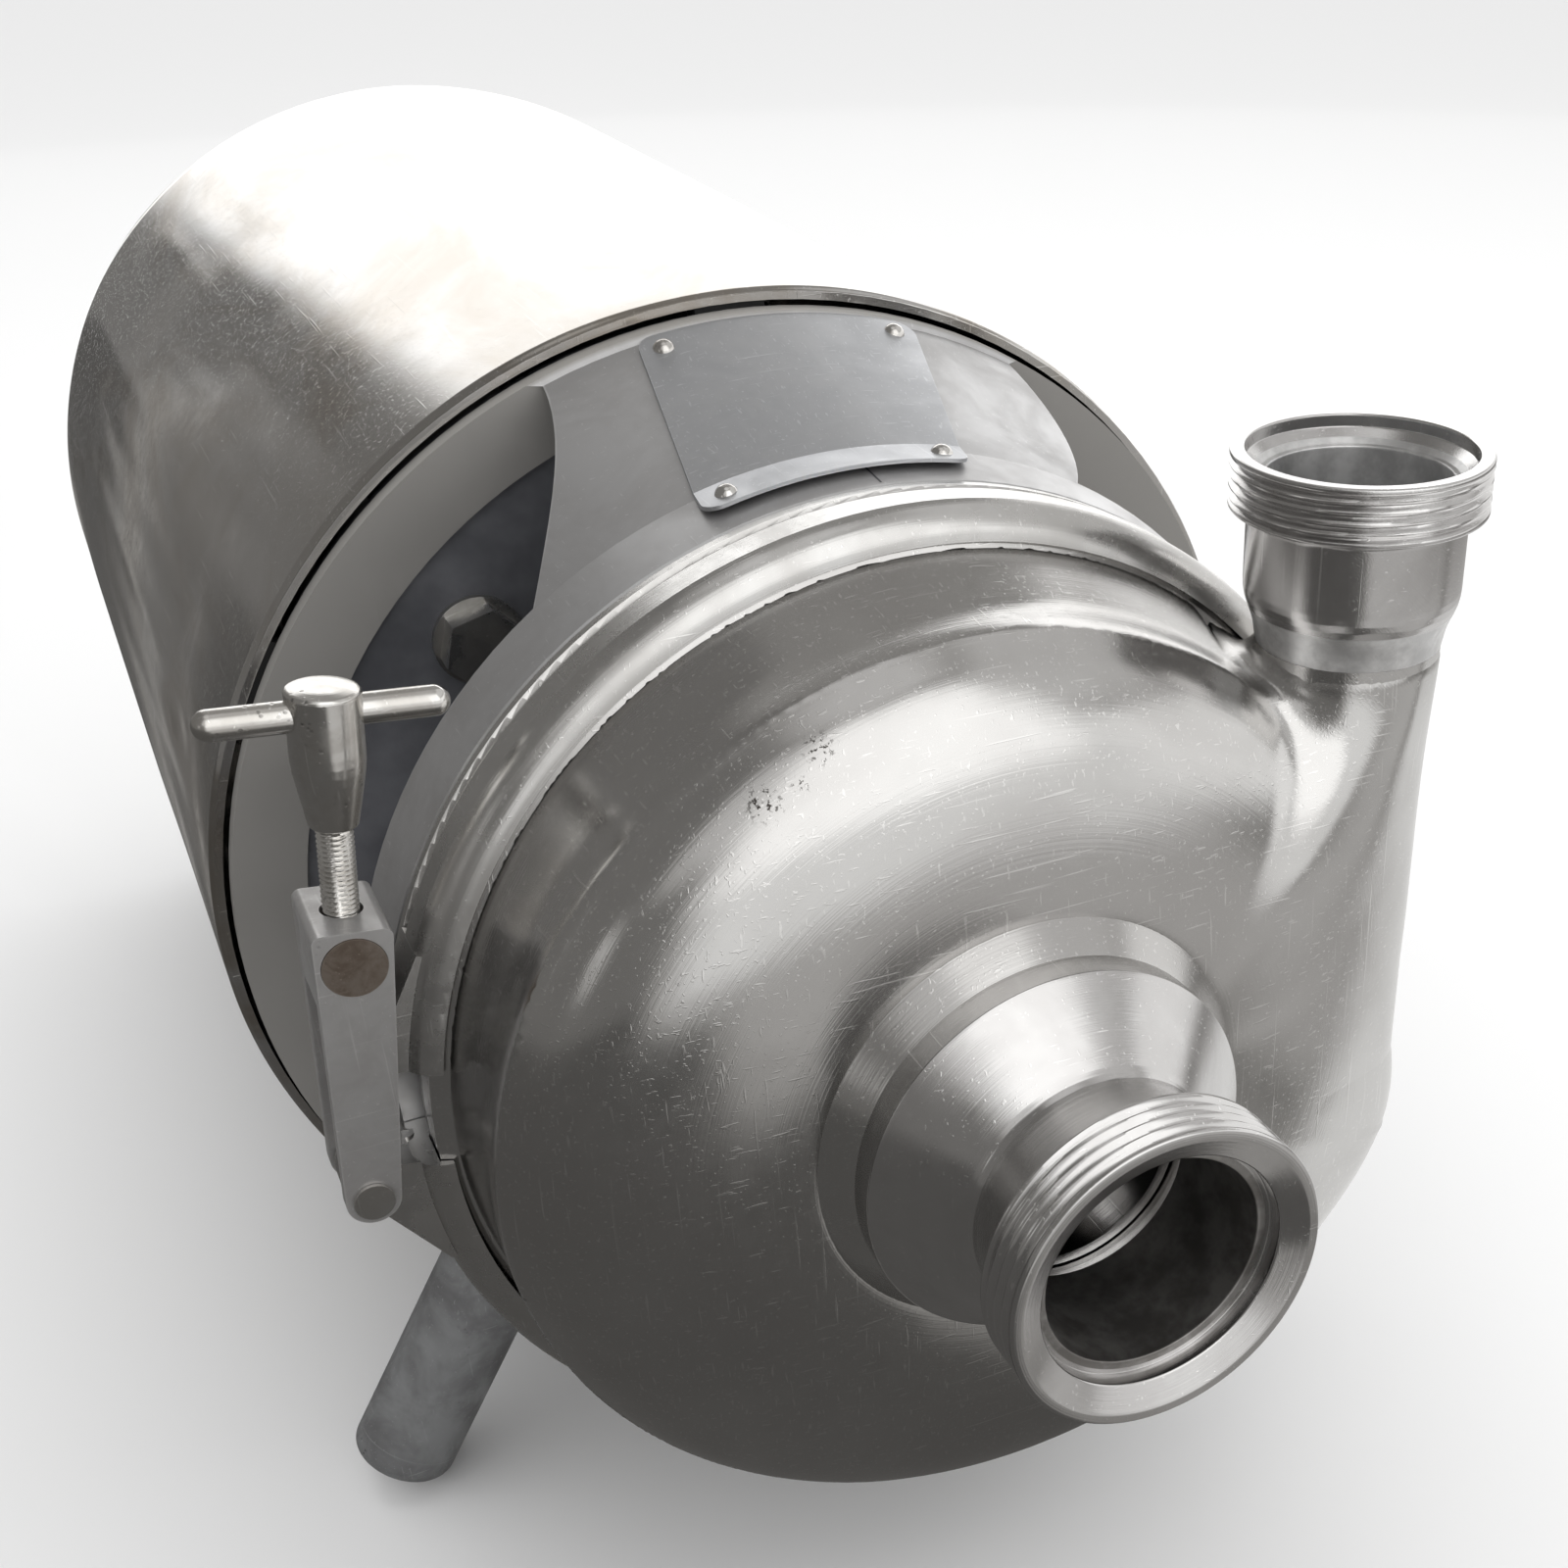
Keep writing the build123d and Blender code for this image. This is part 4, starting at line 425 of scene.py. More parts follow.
bore_roughening = 0.26
lantern_ring = {"station": 0.281, "color": (0.33, 0.32, 0.305), "metal": 0.45}
# Colours inside the bores: the inlet's are darker than its steel, a painted shade in the recess; the
# outlet's are far brighter, a painted light.
inlet_bore_painted_shade = {"center": (0.0, 0.0, 0.0), "kept": (1.0, 0.0, 1.0), "radius": 0.0355,
              "light": (0.42, 0.41, 0.40), "dark": (0.24, 0.23, 0.22)}
outlet_bore_painted_light = {"center": (outlet_x * MM, outlet_y * MM, 0.0), "kept": (1.0, 1.0, 0.0), "radius": 0.0318,
               "light": (0.86, 0.86, 0.86), "dark": (0.62, 0.62, 0.62)}
dome_marks = ((-67.5, 99.5, 113.8, 7.0), (-50.5, 101.9, 124.7, 6.0), (-58.0, 97.0, 118.0, 4.0))
shroud_stain = (0.42, 0.375, 0.32)
turned_light = (0.69, 0.685, 0.68)
turned_dark = (0.59, 0.58, 0.575)

polished_casing = steel("polished casing", (0.64, 0.635, 0.625), (0.53, 0.52, 0.51), 0.19, 0.05,
                        scratch=0.55, marks=1300.0, marked=dome_marks)
polished_shroud = steel("polished shroud", (0.64, 0.635, 0.63), (0.52, 0.505, 0.485), 0.12, 0.05, 6.0,
                        scratch=0.45, stain=shroud_stain)
inlet_steel = steel("turned inlet steel", turned_light, turned_dark, 0.17, 0.05, 22.0,
                    scratch=0.25, marks=2600.0, bore=inlet_bore_painted_shade)
outlet_steel = steel("turned outlet steel", turned_light, (0.56, 0.55, 0.545), 0.16, 0.05, 22.0,
                     scratch=0.25, marks=2600.0, bore=outlet_bore_painted_light)
turned_steel = steel("turned steel", turned_light, turned_dark, 0.17, 0.05, 22.0,
                     scratch=0.25, marks=2600.0)
clamp_steel = steel("clamp ring steel", (0.66, 0.655, 0.645), (0.55, 0.54, 0.525), 0.25, 0.07, 16.0,
                    scratch=0.35, marks=1500.0, pitting=0.24, edge=0.0004)
cast_steel = steel("dull lantern steel", (0.56, 0.56, 0.565), (0.46, 0.455, 0.455), 0.45, 0.06, 24.0,
                   scratch=0.2, pitting=0.28, metal=0.9, ring=lantern_ring)
leg_steel = steel("stained leg tube", (0.44, 0.45, 0.46), (0.24, 0.24, 0.245), 0.42, 0.1, 40.0,
                  scratch=0.3, pitting=0.42, metal=0.7)
nickel = steel("worn nickel plate", (0.76, 0.75, 0.73), (0.60, 0.58, 0.55), 0.20, 0.06, 60.0,
               scratch=0.3, pitting=0.47)
milled_link = steel("milled link", (0.46, 0.455, 0.45), (0.36, 0.35, 0.345), 0.36, 0.06, 45.0,
                    pitting=0.32, edge=0.0009, metal=0.7)
oxidised_nut = steel("oxidised cross nut", (0.34, 0.29, 0.25), (0.19, 0.15, 0.12), 0.40, 0.08, 150.0,
                     pitting=0.40)
plain_bolt = steel("plain bolt steel", (0.58, 0.575, 0.565), (0.44, 0.43, 0.41), 0.32, 0.07, 60.0,
                   scratch=0.3, pitting=0.30)
brushed_plate = steel("brushed plate", (0.60, 0.61, 0.63), (0.52, 0.53, 0.55), 0.42, 0.05, 30.0, 0.5)
motor_paint = paint("motor paint", (0.075, 0.077, 0.086), (0.24, 0.24, 0.24), 0.38)
seal_rubber = plain("seal rubber", (0.03, 0.03, 0.03), 0.65)
seal_carbon = plain("seal carbon", (0.035, 0.035, 0.04), 0.35)
core_steel = plain("lamination steel", (0.16, 0.16, 0.17), 0.5, 900.0)
fan_plastic = plain("fan plastic", (0.03, 0.03, 0.03), 0.5)

node_materials = {
    polished_casing: ["pump_casing"],
    polished_shroud: ["motor_shroud", "shroud_rear_cover"],
    turned_steel: ["inlet_union", "outlet_union", "back_plate", "seal_cap", "seal_spring", "impeller",
                   "impeller_nut", "stub_shaft", "shaft_clamp", "clamp_hinge_pin"],
    clamp_steel: ["clamp_upper", "clamp_lower", "clamp_upper_lug", "clamp_lower_lug"],
    cast_steel: ["lantern"],
    leg_steel: ["front_leg_left", "front_leg_right", "rear_leg_left", "rear_leg_right", "front_foot_left",
                "front_foot_right", "rear_foot_left", "rear_foot_right"],
    nickel: ["clamp_screw", "cross_bar", "clamp_screw_tip", "link_pivot_pin", "cover_cap_nuts",
             "cable_gland", "nameplate_rivets"],
    milled_link: ["clamp_link"],
    oxidised_nut: ["barrel_nut"],
    plain_bolt: ["seal_cap_screws", "flange_bolts", "lantern_ring_screws", "front_bearing", "rear_bearing",
                 "cover_studs", "shaft_clamp_screw", "motor_shaft"],
    brushed_plate: ["nameplate"],
    motor_paint: ["motor_flange", "motor_frame", "terminal_box", "rear_end_shield"],
    seal_rubber: ["casing_gasket", "shroud_pads", "drip_slinger"],
    seal_carbon: ["stationary_seal_ring", "rotary_seal_ring"],
    core_steel: ["stator_core", "rotor_core"],
    fan_plastic: ["cooling_fan"],
}
for material, names in node_materials.items():
    for name in names:
        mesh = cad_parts[name].data
        mesh.materials.clear()
        mesh.materials.append(material)


# New pieces, worked out in millimetres

def grid_piece(name, points, material, body, close_rows=False, close_columns=True, crease=35.0):
    """Named piece from an array of points by row and column, each joined to the next row and column."""
    rows, columns = points.shape[:2]
    index = np.arange(rows * columns).reshape(rows, columns)
    if close_rows:
        index = np.vstack((index, index[:1]))
    if close_columns:
        index = np.hstack((index, index[:, :1]))
    quads = np.stack((index[:-1, :-1], index[:-1, 1:], index[1:, 1:], index[1:, :-1]), axis=-1)
    quads = quads.reshape(-1, 4)
    return mesh_piece(name, points.reshape(-1, 3), quads, material, body, crease)


def mesh_piece(name, points, quads, material, body, crease=35.0):
    """Named piece from points in millimetres and four-sided faces, smooth up to an angle."""
    mesh = bpy.data.meshes.new(name)
    mesh.vertices.add(len(points))
    mesh.vertices.foreach_set("co", (points * MM).astype(np.float32).ravel())
    mesh.loops.add(quads.size)
    mesh.loops.foreach_set("vertex_index", quads.astype(np.int32).ravel())
    mesh.polygons.add(len(quads))
    mesh.polygons.foreach_set("loop_start", np.arange(0, quads.size, 4, dtype=np.int32))
    mesh.update(calc_edges=True)
    mesh.validate()
    mesh.shade_smooth()
    mesh.set_sharp_from_angle(angle=radians(crease))
    mesh.materials.append(material)
    piece = bpy.data.objects.new(name, mesh)
    bpy.context.scene.collection.objects.link(piece)
    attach(piece, body)
    return piece


def smooth_step(value, low, high):
    share = np.clip((value - low) / (high - low), 0.0, 1.0)
    return share * share * (3.0 - 2.0 * share)


def rounded(corners, radius, steps=4):
    """Closed outline with each corner cut back by a radius, at most a share of a side, and joined by a
    parabola."""
    most = 0.4
    corners = np.array(corners, dtype=float)
    reach = np.full(len(corners), radius) if np.isscalar(radius) else np.array(radius, dtype=float)
    back = np.roll(corners, 1, axis=0) - corners
    ahead = np.roll(corners, -1, axis=0) - corners
    back_length = np.linalg.norm(back, axis=1)
    ahead_length = np.linalg.norm(ahead, axis=1)
    cut = np.minimum(reach, most * np.minimum(back_length, ahead_length))
    first = corners + back * (cut / back_length)[:, None]
    last = corners + ahead * (cut / ahead_length)[:, None]
    t = np.linspace(0.0, 1.0, steps)[None, :, None]
    curve = first[:, None] * (1 - t) ** 2 + corners[:, None] * 2 * t * (1 - t) + last[:, None] * t ** 2
    return curve.reshape(-1, 2)


def dense(outline, longest):
    """Closed outline with its sides divided into steps no longer than a length."""
    ahead = np.roll(outline, -1, axis=0)
    count = np.maximum(1, np.ceil(np.linalg.norm(ahead - outline, axis=1) / longest)).astype(int)
    start = np.repeat(np.arange(len(outline)), count)
    first = np.repeat(np.cumsum(count) - count, count)
    share = (np.arange(count.sum()) - first) / count[start]
    return outline[start] + (ahead - outline)[start] * share[:, None]


def threaded_turning(outline, thread_r, span, pitch, depth, segments, fade=1.6):
    """Closed outline of radius and station turned about an axis. Where the radius is that of the thread's
    crests, it falls by a cosine of the station over the pitch less the turn, and fades at its ends."""
    nearness = 0.05
    radius, station = outline[:, 0][:, None], outline[:, 1][:, None]
    turn = np.linspace(0.0, 2.0 * np.pi, segments, endpoint=False)[None, :]
    wave = 0.5 - 0.5 * np.cos(2.0 * np.pi * station / pitch - turn)
    here = smooth_step(station, span[0], span[0] + fade)
    here = here * (1.0 - smooth_step(station, span[1] - fade, span[1]))
    here = here * (np.abs(radius - thread_r) < nearness)
    return radius - depth * here * wave, station + 0.0 * turn, turn + 0.0 * station


def threaded_inlet():
    """Inlet union on the shaft axis with round ridges on its collar: its outline, by radius and station,
    turned with a thread."""
    corners = [
        (44.5, 0.0), (inlet_thread_r, 0.0), (inlet_thread_r, 19.0), (38.0, 20.6), (38.0, 43.3),
        (hub_r, hub_y), (36.9, hub_y), (36.9, 50.0), (inlet_bore_r, 50.0), (inlet_bore_r, 9.0),
        (37.0, 9.0), (37.0, 4.0),
    ]
    radii = (0.5, 1.0, 0.8, 1.6, 3.0, 0.6, 0.2, 0.4, 0.5, 0.5, 0.2, 0.4)
    outline = dense(rounded(corners, radii), 0.42)
    radius, station, turn = threaded_turning(outline, inlet_thread_r, (1.2, 18.4), 4.23, 1.9, 200)
    points = np.stack((radius * np.cos(turn), station, radius * np.sin(turn)), axis=-1)
    piece = grid_piece("threaded_inlet_union", points, inlet_steel, "pump_frame", close_rows=True)
    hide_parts("inlet_union")


def threaded_outlet():
    """Outlet union on its upright axis with narrow ridges on its collar: its outline, by radius and height,
    turned with a thread."""
    corners = [
        (34.5, 172.2), (34.5, 168.2), (30.0, 164.2), (outlet_bore_r, 164.2), (outlet_bore_r, 128.0),
        (24.7, 120.0), (24.7, outlet_root_z), (outlet_pipe_r, outlet_root_z), (29.9, 120.0), (33.2, 128.0),
        (33.2, 153.5), (outlet_thread_r, 155.0), (outlet_thread_r, 172.2),
    ]
    radii = (0.5, 0.2, 0.2, 0.5, 1.0, 1.0, 0.2, 0.2, 4.0, 4.0, 1.4, 0.8, 0.9)
    outline = dense(rounded(corners, radii), 0.42)
    radius, station, turn = threaded_turning(outline, outlet_thread_r, (155.8, 171.0), 3.2, 1.6, 200)
    points = np.stack((outlet_x + radius * np.cos(turn), outlet_y + radius * np.sin(turn), station), axis=-1)
    piece = grid_piece("threaded_outlet_union", points, outlet_steel, "pump_frame", close_rows=True)
    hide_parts("outlet_union")


def threaded_screw():
    """Clamp screw on its leaning axis: rod with a fine thread, tapered hub and crowned top. Its outline, by
    radius and distance from the pivot, is turned with a thread and leaned over."""
    corners = [
        (0.02, 59.1), (screw_thread_r, 59.1), (screw_thread_r, 113.5), (6.5, 113.5), (9.8, 131.5),
        (9.8, 152.2), (6.0, 153.0), (0.02, 153.2),
    ]
    outline = dense(rounded(corners, (0.01, 0.8, 0.1, 0.8, 4.0, 1.2, 3.0, 0.01)), 0.3)
    radius, station, turn = threaded_turning(outline, screw_thread_r, (60.5, 113.2), 1.5, 0.75, 64, 1.0)
    lean = radians(screw_lean)
    across = radius * np.cos(turn)
    points = np.stack((pivot_x + across * np.cos(lean) + station * np.sin(lean),
                       clamp_y + radius * np.sin(turn),
                       pivot_z - across * np.sin(lean) + station * np.cos(lean)), axis=-1)
    piece = grid_piece("threaded_clamp_screw", points, nickel, "t_screw")
    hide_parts("clamp_screw")


def smooth_least(first, second, reach):
    """Least of two fields, rounded where they are within a reach of each other."""
    share = np.clip(0.5 + 0.5 * (second - first) / reach, 0.0, 1.0)
    return second * (1.0 - share) + first * share - reach * share * (1.0 - share)


def egg_field(across, along, reach, front, back):
    """Rough distance from an egg with four quarter ellipses: its radius function less 1, over its slope."""
    half_across = np.where(across > 0.0, reach[0], reach[1])
    half_along = np.where(along < 0.0, front, back)
    size = np.sqrt((across / half_across) ** 2 + (along / half_along) ** 2) + 1e-9
    slope = np.sqrt((across / half_across ** 2) ** 2 + (along / half_along ** 2) ** 2) / size + 1e-9
    return (size - 1.0) / slope


def casing_field(x, y, z):
    """Field that is zero on the casing's skin: volute, back cone and outlet pipe, blended into each other.
    The volute is an egg. Its outer radius grows with the square of the angle, up to the flat side."""
    radius = np.hypot(x, z)
    angle = np.degrees(np.arctan2(z, x)) % 360.0
    share = np.clip((angle - 60.0) / 240.0, 0.0, 1.0)
    side = outlet_side_x / np.maximum(np.cos(np.radians(angle)), 0.5)
    outer = 140.0 + 32.0 * share ** 2
    outer = np.where(angle > 300.0, np.minimum(outer, side), outer)
    volute = egg_field(radius - volute_root_r, y - volute_y, (outer - volute_root_r, volute_inside),
                       volute_front, volute_back)
    start = np.minimum(outer - 0.5, 149.0)
    cone = np.maximum((radius - start - (152.5 - start) * (y - volute_y) / 36.4) * 0.96, volute_y - y)
    rise = np.clip(z / outlet_root_z, 0.0, 1.0)
    blend = rise * rise * (3.0 - 2.0 * rise)
    center_x = volute_root_r + (outlet_x - volute_root_r) * blend
    center_y = volute_y + (outlet_y - volute_y) * blend
    side_x = outlet_side_x + (outlet_x + outlet_pipe_r - outlet_side_x) * rise
    depths = [first + (outlet_pipe_r - first) * blend
              for first in (volute_inside, volute_front, volute_back)]
    outlet = egg_field(x - center_x, y - center_y, (side_x - center_x, depths[0]), depths[1], depths[2])
    outlet = np.maximum(outlet, -z)
    reach = 0.4 + 13.0 * smooth_step(z, 8.0, 60.0)
    body = smooth_least(volute, cone, 9.0)
    body = smooth_least(body, outlet, reach)
    sink = smooth_step(z, 109.0, 112.0) * smooth_step(x, 93.0, 98.0) + 1.0 - smooth_step(radius, 65.5, 69.0)
    return body - skin_lift + 0.6 * sink


def surface_of(field, low, high, step):
    """Surface where a field is zero. Each cell of a grid that the surface crosses gets a point at the mean
    of its crossings, moved onto the surface down the field's slope. A crossed edge joins its four cells."""
    axes = [np.arange(start, end, step) for start, end in zip(low, high)]
    value = field(*np.meshgrid(*axes, indexing="ij"))
    inside = value < 0.0
    cells = tuple(count - 1 for count in value.shape)
    total = np.zeros((*cells, 3))
    count = np.zeros(cells)
    crossings = []
    for axis in range(3):
        lead = [slice(None)] * 3
        lag = [slice(None)] * 3
        lead[axis], lag[axis] = slice(1, None), slice(None, -1)
        crossed = inside[tuple(lag)] != inside[tuple(lead)]
        places = np.argwhere(crossed)
        first, second = value[tuple(lag)][crossed], value[tuple(lead)][crossed]
        spot = places.astype(float)
        spot[:, axis] += first / (first - second)
        others = [other for other in range(3) if other != axis]
        around = []
        for shift in ((0, 0), (1, 0), (1, 1), (0, 1)):
            cell = places.copy()
            cell[:, others[0]] -= shift[0]
            cell[:, others[1]] -= shift[1]
            around.append(cell)
        around = np.stack(around, axis=1)
        fits = ((around >= 0) & (around < np.array(cells))).all(axis=2)
        for corner in range(4):
            cell = around[fits[:, corner], corner]
            np.add.at(total, tuple(cell.T), spot[fits[:, corner]])
            np.add.at(count, tuple(cell.T), 1.0)
        whole = fits.all(axis=1)
        turn = inside[tuple(lag)][crossed][whole] != (axis == 1)
        crossings.append((around[whole], turn))
    filled = count > 0
    number = np.full(cells, -1)
    number[filled] = np.arange(filled.sum())
    points = total[filled] / count[filled][:, None] * step + np.array(low)
    nudge = 0.05
    for _ in range(4):
        here = field(*points.T)
        ahead = [field(*(points + nudge * unit).T) for unit in np.eye(3)]
        behind = [field(*(points - nudge * unit).T) for unit in np.eye(3)]
        slope = (np.stack(ahead, axis=1) - np.stack(behind, axis=1)) / (2 * nudge)
        move = here / np.maximum((slope ** 2).sum(axis=1), 0.05)
        points = points - slope * np.clip(move, -step, step)[:, None]
    quads = []
    for around, turn in crossings:
        face = number[tuple(np.moveaxis(around, 2, 0))]
        quads.append(np.where(turn[:, None], face, face[:, ::-1]))
    return points, np.concatenate(quads)


def casing_skin():
    """Ground and blended skin laid on the casing, from the hub to the flange and up the outlet pipe."""
    points, quads = surface_of(casing_field, (-156.0, 79.0, -178.0), (184.0, 153.6, 156.0), 2.0)
    middle = points[quads].mean(axis=1)
    shown = (np.hypot(middle[:, 0], middle[:, 2]) > 65.0) & ((middle[:, 0] < 96.0) | (middle[:, 2] < 113.0))
    quads = quads[shown]
    kept, place = np.unique(quads, return_inverse=True)
    mesh_piece("casing_skin", points[kept], place.reshape(quads.shape), polished_casing, "pump_frame", 60.0)


def bell_curve(value, width):
    return np.exp(-(value / width) ** 2)


def dented_shroud():
    """Sheet laid on the shroud's top and sides, by turn and station: its radius has long creases along the
    axis, shallow dents and a fold, as sums of bell curves, and its edges dip under the shroud's own skin."""
    creases = (
        (131.0, 380.0, 760.0, 6.0, 0.5), (138.5, 300.0, 640.0, 5.0, -0.45), (146.0, 430.0, 800.0, 8.0, 0.55),
        (154.0, 330.0, 700.0, 7.0, -0.5), (162.0, 360.0, 790.0, 6.0, 0.5), (171.0, 300.0, 620.0, 8.0, -0.6),
        (181.0, 380.0, 780.0, 9.0, 0.5), (122.0, 520.0, 800.0, 10.0, -0.35),
    )
    dents = (
        (98.0, 338.0, 14.0, 22.0, -0.9), (92.0, 352.0, 6.0, 34.0, 0.5),
        (165.0, 372.0, 9.0, 26.0, -0.9), (60.0, 470.0, 30.0, 60.0, -0.6),
    )
    first_turn, last_turn, side_fade = -38.0, 222.0, 8.0
    crease_fade = 90.0
    lift, least_lift, sunk = 1.5, 0.35, 0.25
    turn = np.radians(np.linspace(first_turn, last_turn, 420))[None, :]
    station = np.concatenate((np.linspace(shroud_front_y, 294.0, 10), np.linspace(296.4, shroud_end_y, 190)))
    station = station[:, None]
    arc = shroud_r * turn
    height = 0.2 * np.sin(arc / 19.0 + 0.4) * np.sin(station / 130.0 + arc / 60.0)
    for angle, low, high, width, depth in creases:
        along = smooth_step(station, low, low + crease_fade)
        along = along * (1.0 - smooth_step(station, high - crease_fade, high))
        height = height + depth * bell_curve(arc - shroud_r * radians(angle), width) * along
    for angle, middle, width, length, depth in dents:
        across = bell_curve(arc - shroud_r * radians(angle), width)
        height = height + depth * across * bell_curve(station - middle, length)
    front = smooth_step(station, shroud_front_y, 292.5)
    rear = 1.0 - smooth_step(station, 792.0, shroud_end_y)
    ends = np.minimum(front, rear)
    left = smooth_step(turn, radians(first_turn), radians(first_turn + side_fade))
    right = 1.0 - smooth_step(turn, radians(last_turn - side_fade), radians(last_turn))
    radius = shroud_r - sunk + ends * left * right * np.maximum(lift + height, least_lift)
    points = np.stack((radius * np.cos(turn), station + 0.0 * turn, radius * np.sin(turn)), axis=-1)
    grid_piece("dented_shroud_skin", points, polished_shroud, "pump_frame", close_columns=False, crease=60.0)


def scribed_mark():
    """Narrow dark line cut along the band, as a strip whose radius grows with the band's cone."""
    mark_turn, half_width, lift = 88.6, 0.11, 0.06
    station = np.linspace(181.5, 202.5, 12)[:, None]
    turn = np.radians(mark_turn + np.array([-half_width, half_width]))[None, :]
    radius = band_r + (station - band_y) * band_slope + lift
    points = np.stack((radius * np.cos(turn), station + 0.0 * turn, radius * np.sin(turn)), axis=-1)
    grid_piece("scribed_mark", points, seal_carbon, "pump_frame", close_columns=False)


threaded_inlet()
threaded_outlet()
scribed_mark()
threaded_screw()
casing_skin()
dented_shroud()


# Studio

def floor():
    """Wide pale floor under the feet."""
    mesh = bpy.data.meshes.new("floor")
    reach = 14.0
    sides = [(-reach, -reach), (reach, -reach), (reach, reach), (-reach, reach)]
    mesh.from_pydata([(*side, floor_z) for side in sides], [], [(0, 1, 2, 3)])
    piece = bpy.data.objects.new("floor", mesh)
    bpy.context.scene.collection.objects.link(piece)
    material, _, shader, _ = new_material("pale floor")
    shader.inputs["Base Color"].default_value = (*floor_color, 1.0)
    shader.inputs["Roughness"].default_value = 0.9
    mesh.materials.append(material)


def area_light(name, place, aim, size, power):
    """Soft rectangular lamp at a place, turned to a point."""
    lamp = bpy.data.lights.new(name, "AREA")
    lamp.shape = "RECTANGLE"
    lamp.size, lamp.size_y = size
    lamp.energy = power
    piece = bpy.data.objects.new(name, lamp)
    bpy.context.scene.collection.objects.link(piece)
    piece.location = place
    piece.visible_glossy = False
    direction = np.array(aim) - np.array(place)
    yaw = np.arctan2(direction[1], direction[0])
    pitch = np.arctan2(direction[2], np.hypot(direction[0], direction[1]))
    piece.rotation_euler = Euler((radians(90) + pitch, 0.0, yaw - radians(90)))


def studio_world():
    """World that is bright overhead and dimmer towards the horizon."""
    world = bpy.data.worlds.new("studio")
    bpy.context.scene.world = world
    world.use_nodes = True
    tree = world.node_tree
    back = tree.nodes["Background"]
    direction = add_node(tree, "ShaderNodeTexCoord").outputs["Generated"]
    parts = add_node(tree, "ShaderNodeSeparateXYZ")
    tree.links.new(direction, parts.inputs[0])
    ramp = add_node(tree, "ShaderNodeValToRGB")
    tree.links.new(parts.outputs["Z"], ramp.inputs[0])
    stops = ramp.color_ramp.elements
    stops[0].position = 0.0
    stops[0].color = (0.80, 0.80, 0.80, 1.0)
    stops[1].position = 0.72
    stops[1].color = (1.0, 1.0, 1.0, 1.0)
    middle = stops.new(0.28)
    middle.color = (0.92, 0.92, 0.92, 1.0)
    tree.links.new(ramp.outputs[0], back.inputs["Color"])
    back.inputs["Strength"].default_value = 1.0


def window(tree, value, low, high, soft):
    """Mask that is 1 between two limits, with soft edges."""
    rise = remap(tree, value, low - soft, low + soft)
    fall = remap(tree, value, high - soft, high + soft, 1.0, 0.0)
    return math_node(tree, "MULTIPLY", rise, fall)


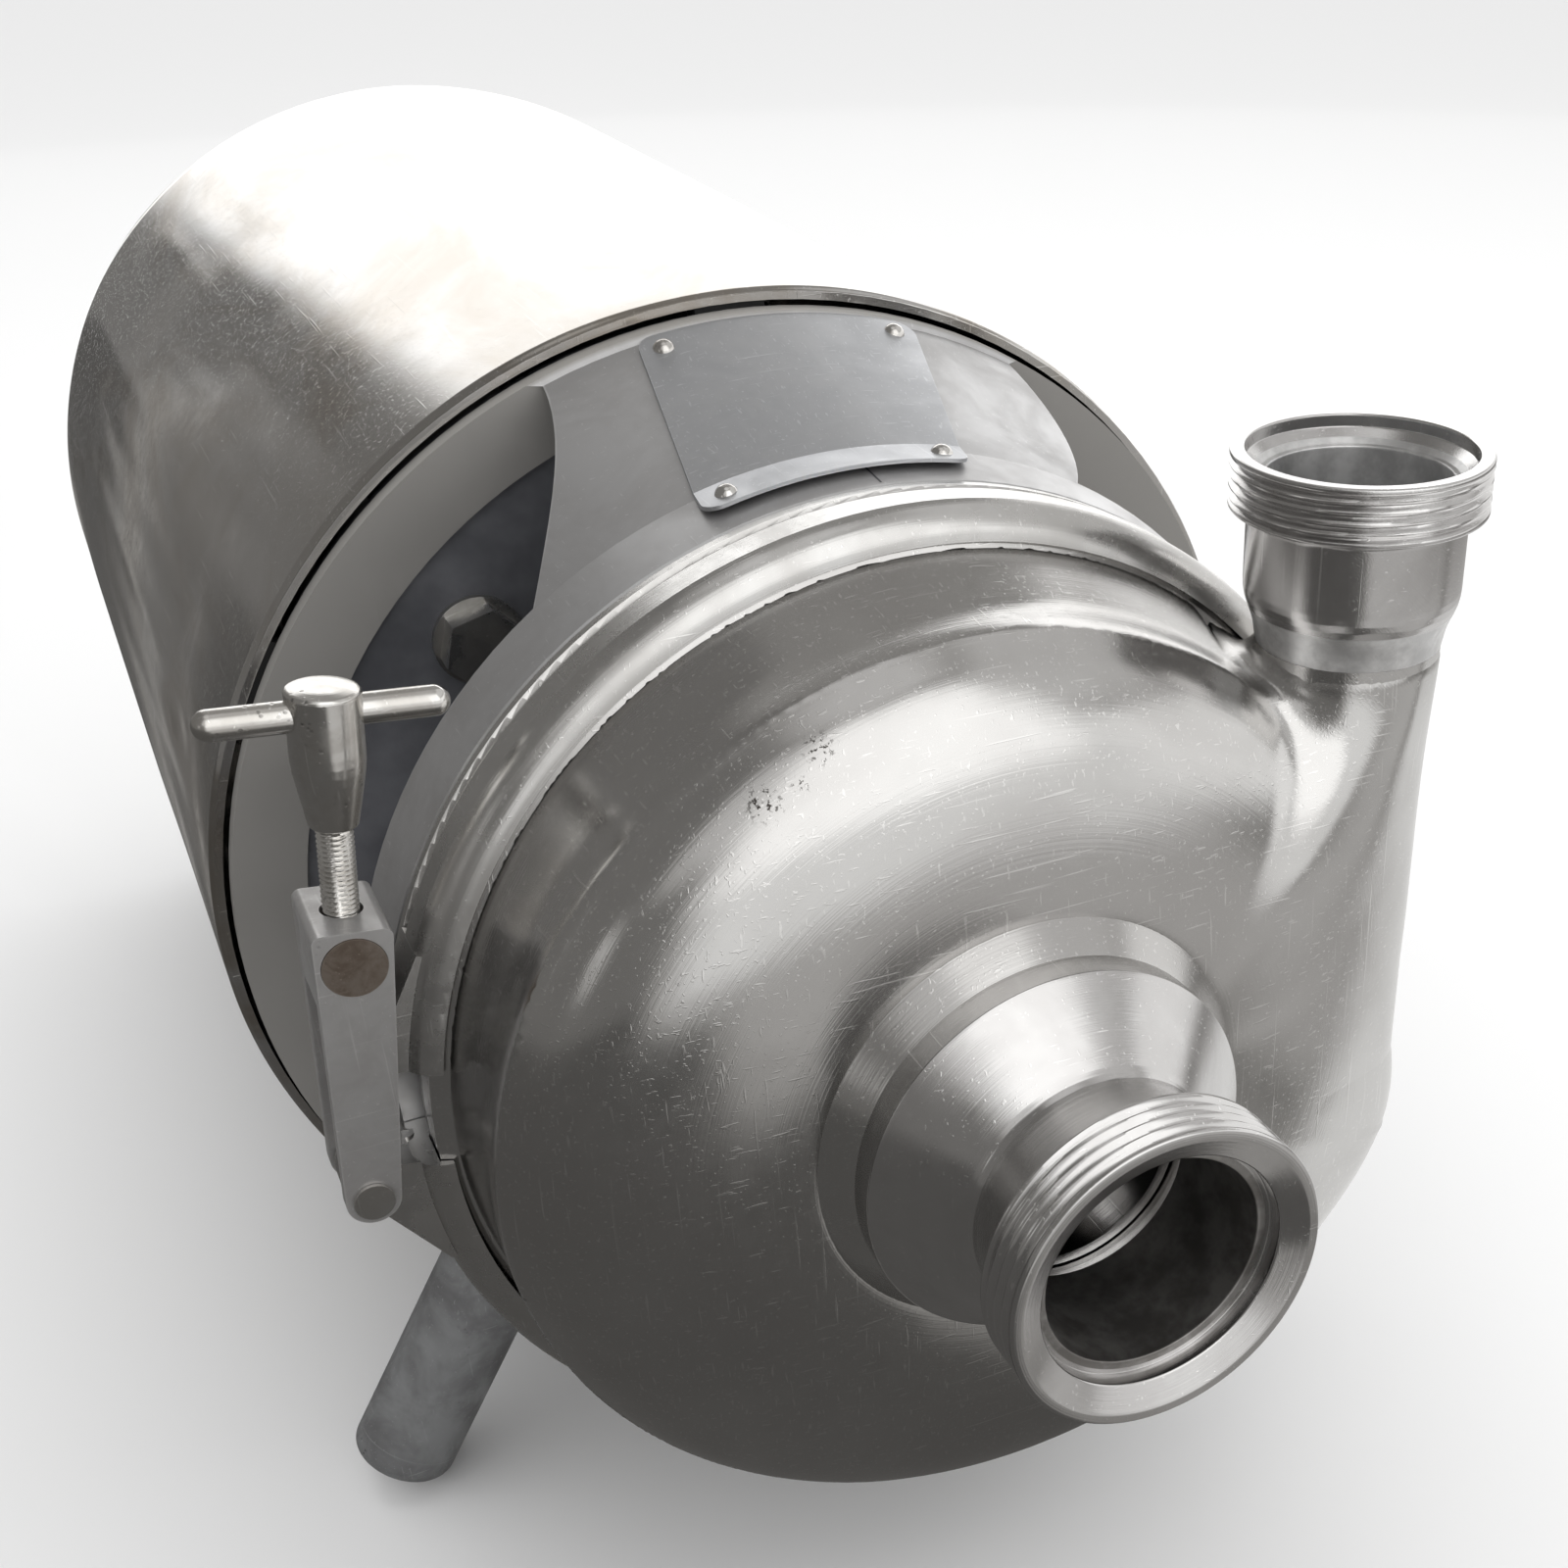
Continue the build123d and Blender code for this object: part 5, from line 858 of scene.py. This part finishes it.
def studio_tent():
    """Dome and floor cloth round the pump that only reflections see: dark cloth with bright panels. Its
    light is a function of direction, as turn from the right side and height above the level, in degrees."""
    floor_level = floor_z / MM
    cloth_gap = 1.0
    degrees_in_radian = 57.29578
    turn = np.radians(np.linspace(0.0, 360.0, 96, endpoint=False))[None, :]
    height = np.radians(np.linspace(-90.0, 90.0, 61))[:, None]
    level = np.clip(np.sin(height) * tent_reach, floor_level + cloth_gap, None)
    dome = np.cos(height) * tent_reach
    cloth = np.minimum(dome, -floor_level / np.maximum(np.tan(-height), 0.05))
    across = np.where(level > floor_level + 1.5 * cloth_gap, dome, cloth)
    points = np.stack((across * np.cos(turn), across * np.sin(turn), level + 0.0 * turn), axis=-1)
    rows, columns = points.shape[:2]
    index = np.arange(rows * columns).reshape(rows, columns)
    index = np.hstack((index, index[:, :1]))
    quads = np.stack((index[:-1, :-1], index[1:, :-1], index[1:, 1:], index[:-1, 1:]), axis=-1)
    quads = quads.reshape(-1, 4)
    mesh = bpy.data.meshes.new("reflection tent")
    mesh.from_pydata((points * MM).reshape(-1, 3).tolist(), [], quads.tolist())
    piece = bpy.data.objects.new("reflection tent", mesh)
    bpy.context.scene.collection.objects.link(piece)
    for kind in ("camera", "diffuse", "transmission", "volume_scatter", "shadow"):
        setattr(piece, "visible_" + kind, False)

    material = bpy.data.materials.new("reflection tent")
    material.use_nodes = True
    tree = material.node_tree
    tree.nodes.clear()
    place = add_node(tree, "ShaderNodeTexCoord").outputs["Object"]
    unit = add_node(tree, "ShaderNodeVectorMath", operation="NORMALIZE")
    tree.links.new(place, unit.inputs[0])
    turned = add_node(tree, "ShaderNodeMapping")
    turned.inputs["Rotation"].default_value = (0.0, 0.0, radians(tent_zero_turn))
    tree.links.new(unit.outputs[0], turned.inputs["Vector"])
    parts = add_node(tree, "ShaderNodeSeparateXYZ")
    tree.links.new(turned.outputs[0], parts.inputs[0])
    side = math_node(tree, "ARCTAN2", parts.outputs["X"], parts.outputs["Y"])
    side = math_node(tree, "MULTIPLY", side, degrees_in_radian)
    up = math_node(tree, "MULTIPLY", math_node(tree, "ARCSINE", parts.outputs["Z"]), degrees_in_radian)
    total = None
    for turn_span, turn_soft, up_span, up_soft, light in tent_panels:
        across = window(tree, side, *turn_span, turn_soft)
        mask = math_node(tree, "MULTIPLY", across, window(tree, up, *up_span, up_soft))
        part = math_node(tree, "MULTIPLY", mask, light)
        total = part if total is None else math_node(tree, "MAXIMUM", total, part)
    total = math_node(tree, "MAXIMUM", total, tent_floor_light)
    warm = mix_colors(tree, tent_shade_color, tent_light_color, remap(tree, total, 0.15, 0.9))
    glow = add_node(tree, "ShaderNodeEmission")
    tree.links.new(warm, glow.inputs["Color"])
    tree.links.new(total, glow.inputs["Strength"])
    leave = add_node(tree, "ShaderNodeOutputMaterial")
    tree.links.new(glow.outputs[0], leave.inputs["Surface"])
    mesh.materials.append(material)


def place_camera():
    """Camera at the photograph's place and angle."""
    lens = bpy.data.cameras.new("camera")
    lens.lens = camera_lens
    lens.sensor_width = 36.0
    lens.shift_x, lens.shift_y = camera_shift
    lens.clip_start = 0.01
    piece = bpy.data.objects.new("camera", lens)
    bpy.context.scene.collection.objects.link(piece)
    piece.location = camera_place
    piece.rotation_euler = Euler((radians(90 - camera_pitch), 0.0, radians(-camera_yaw)))
    bpy.context.scene.camera = piece


floor()
studio_world()
studio_tent()
area_light("overhead softbox", (0.3, 0.9, 1.9), (0.0, 0.3, 0.0), (2.2, 1.6), 14.0)
area_light("right softbox", (1.6, -0.6, 1.1), (0.0, 0.1, 0.0), (1.2, 1.4), 6.0)
place_camera()
bpy.context.scene.view_settings.view_transform = "Standard"
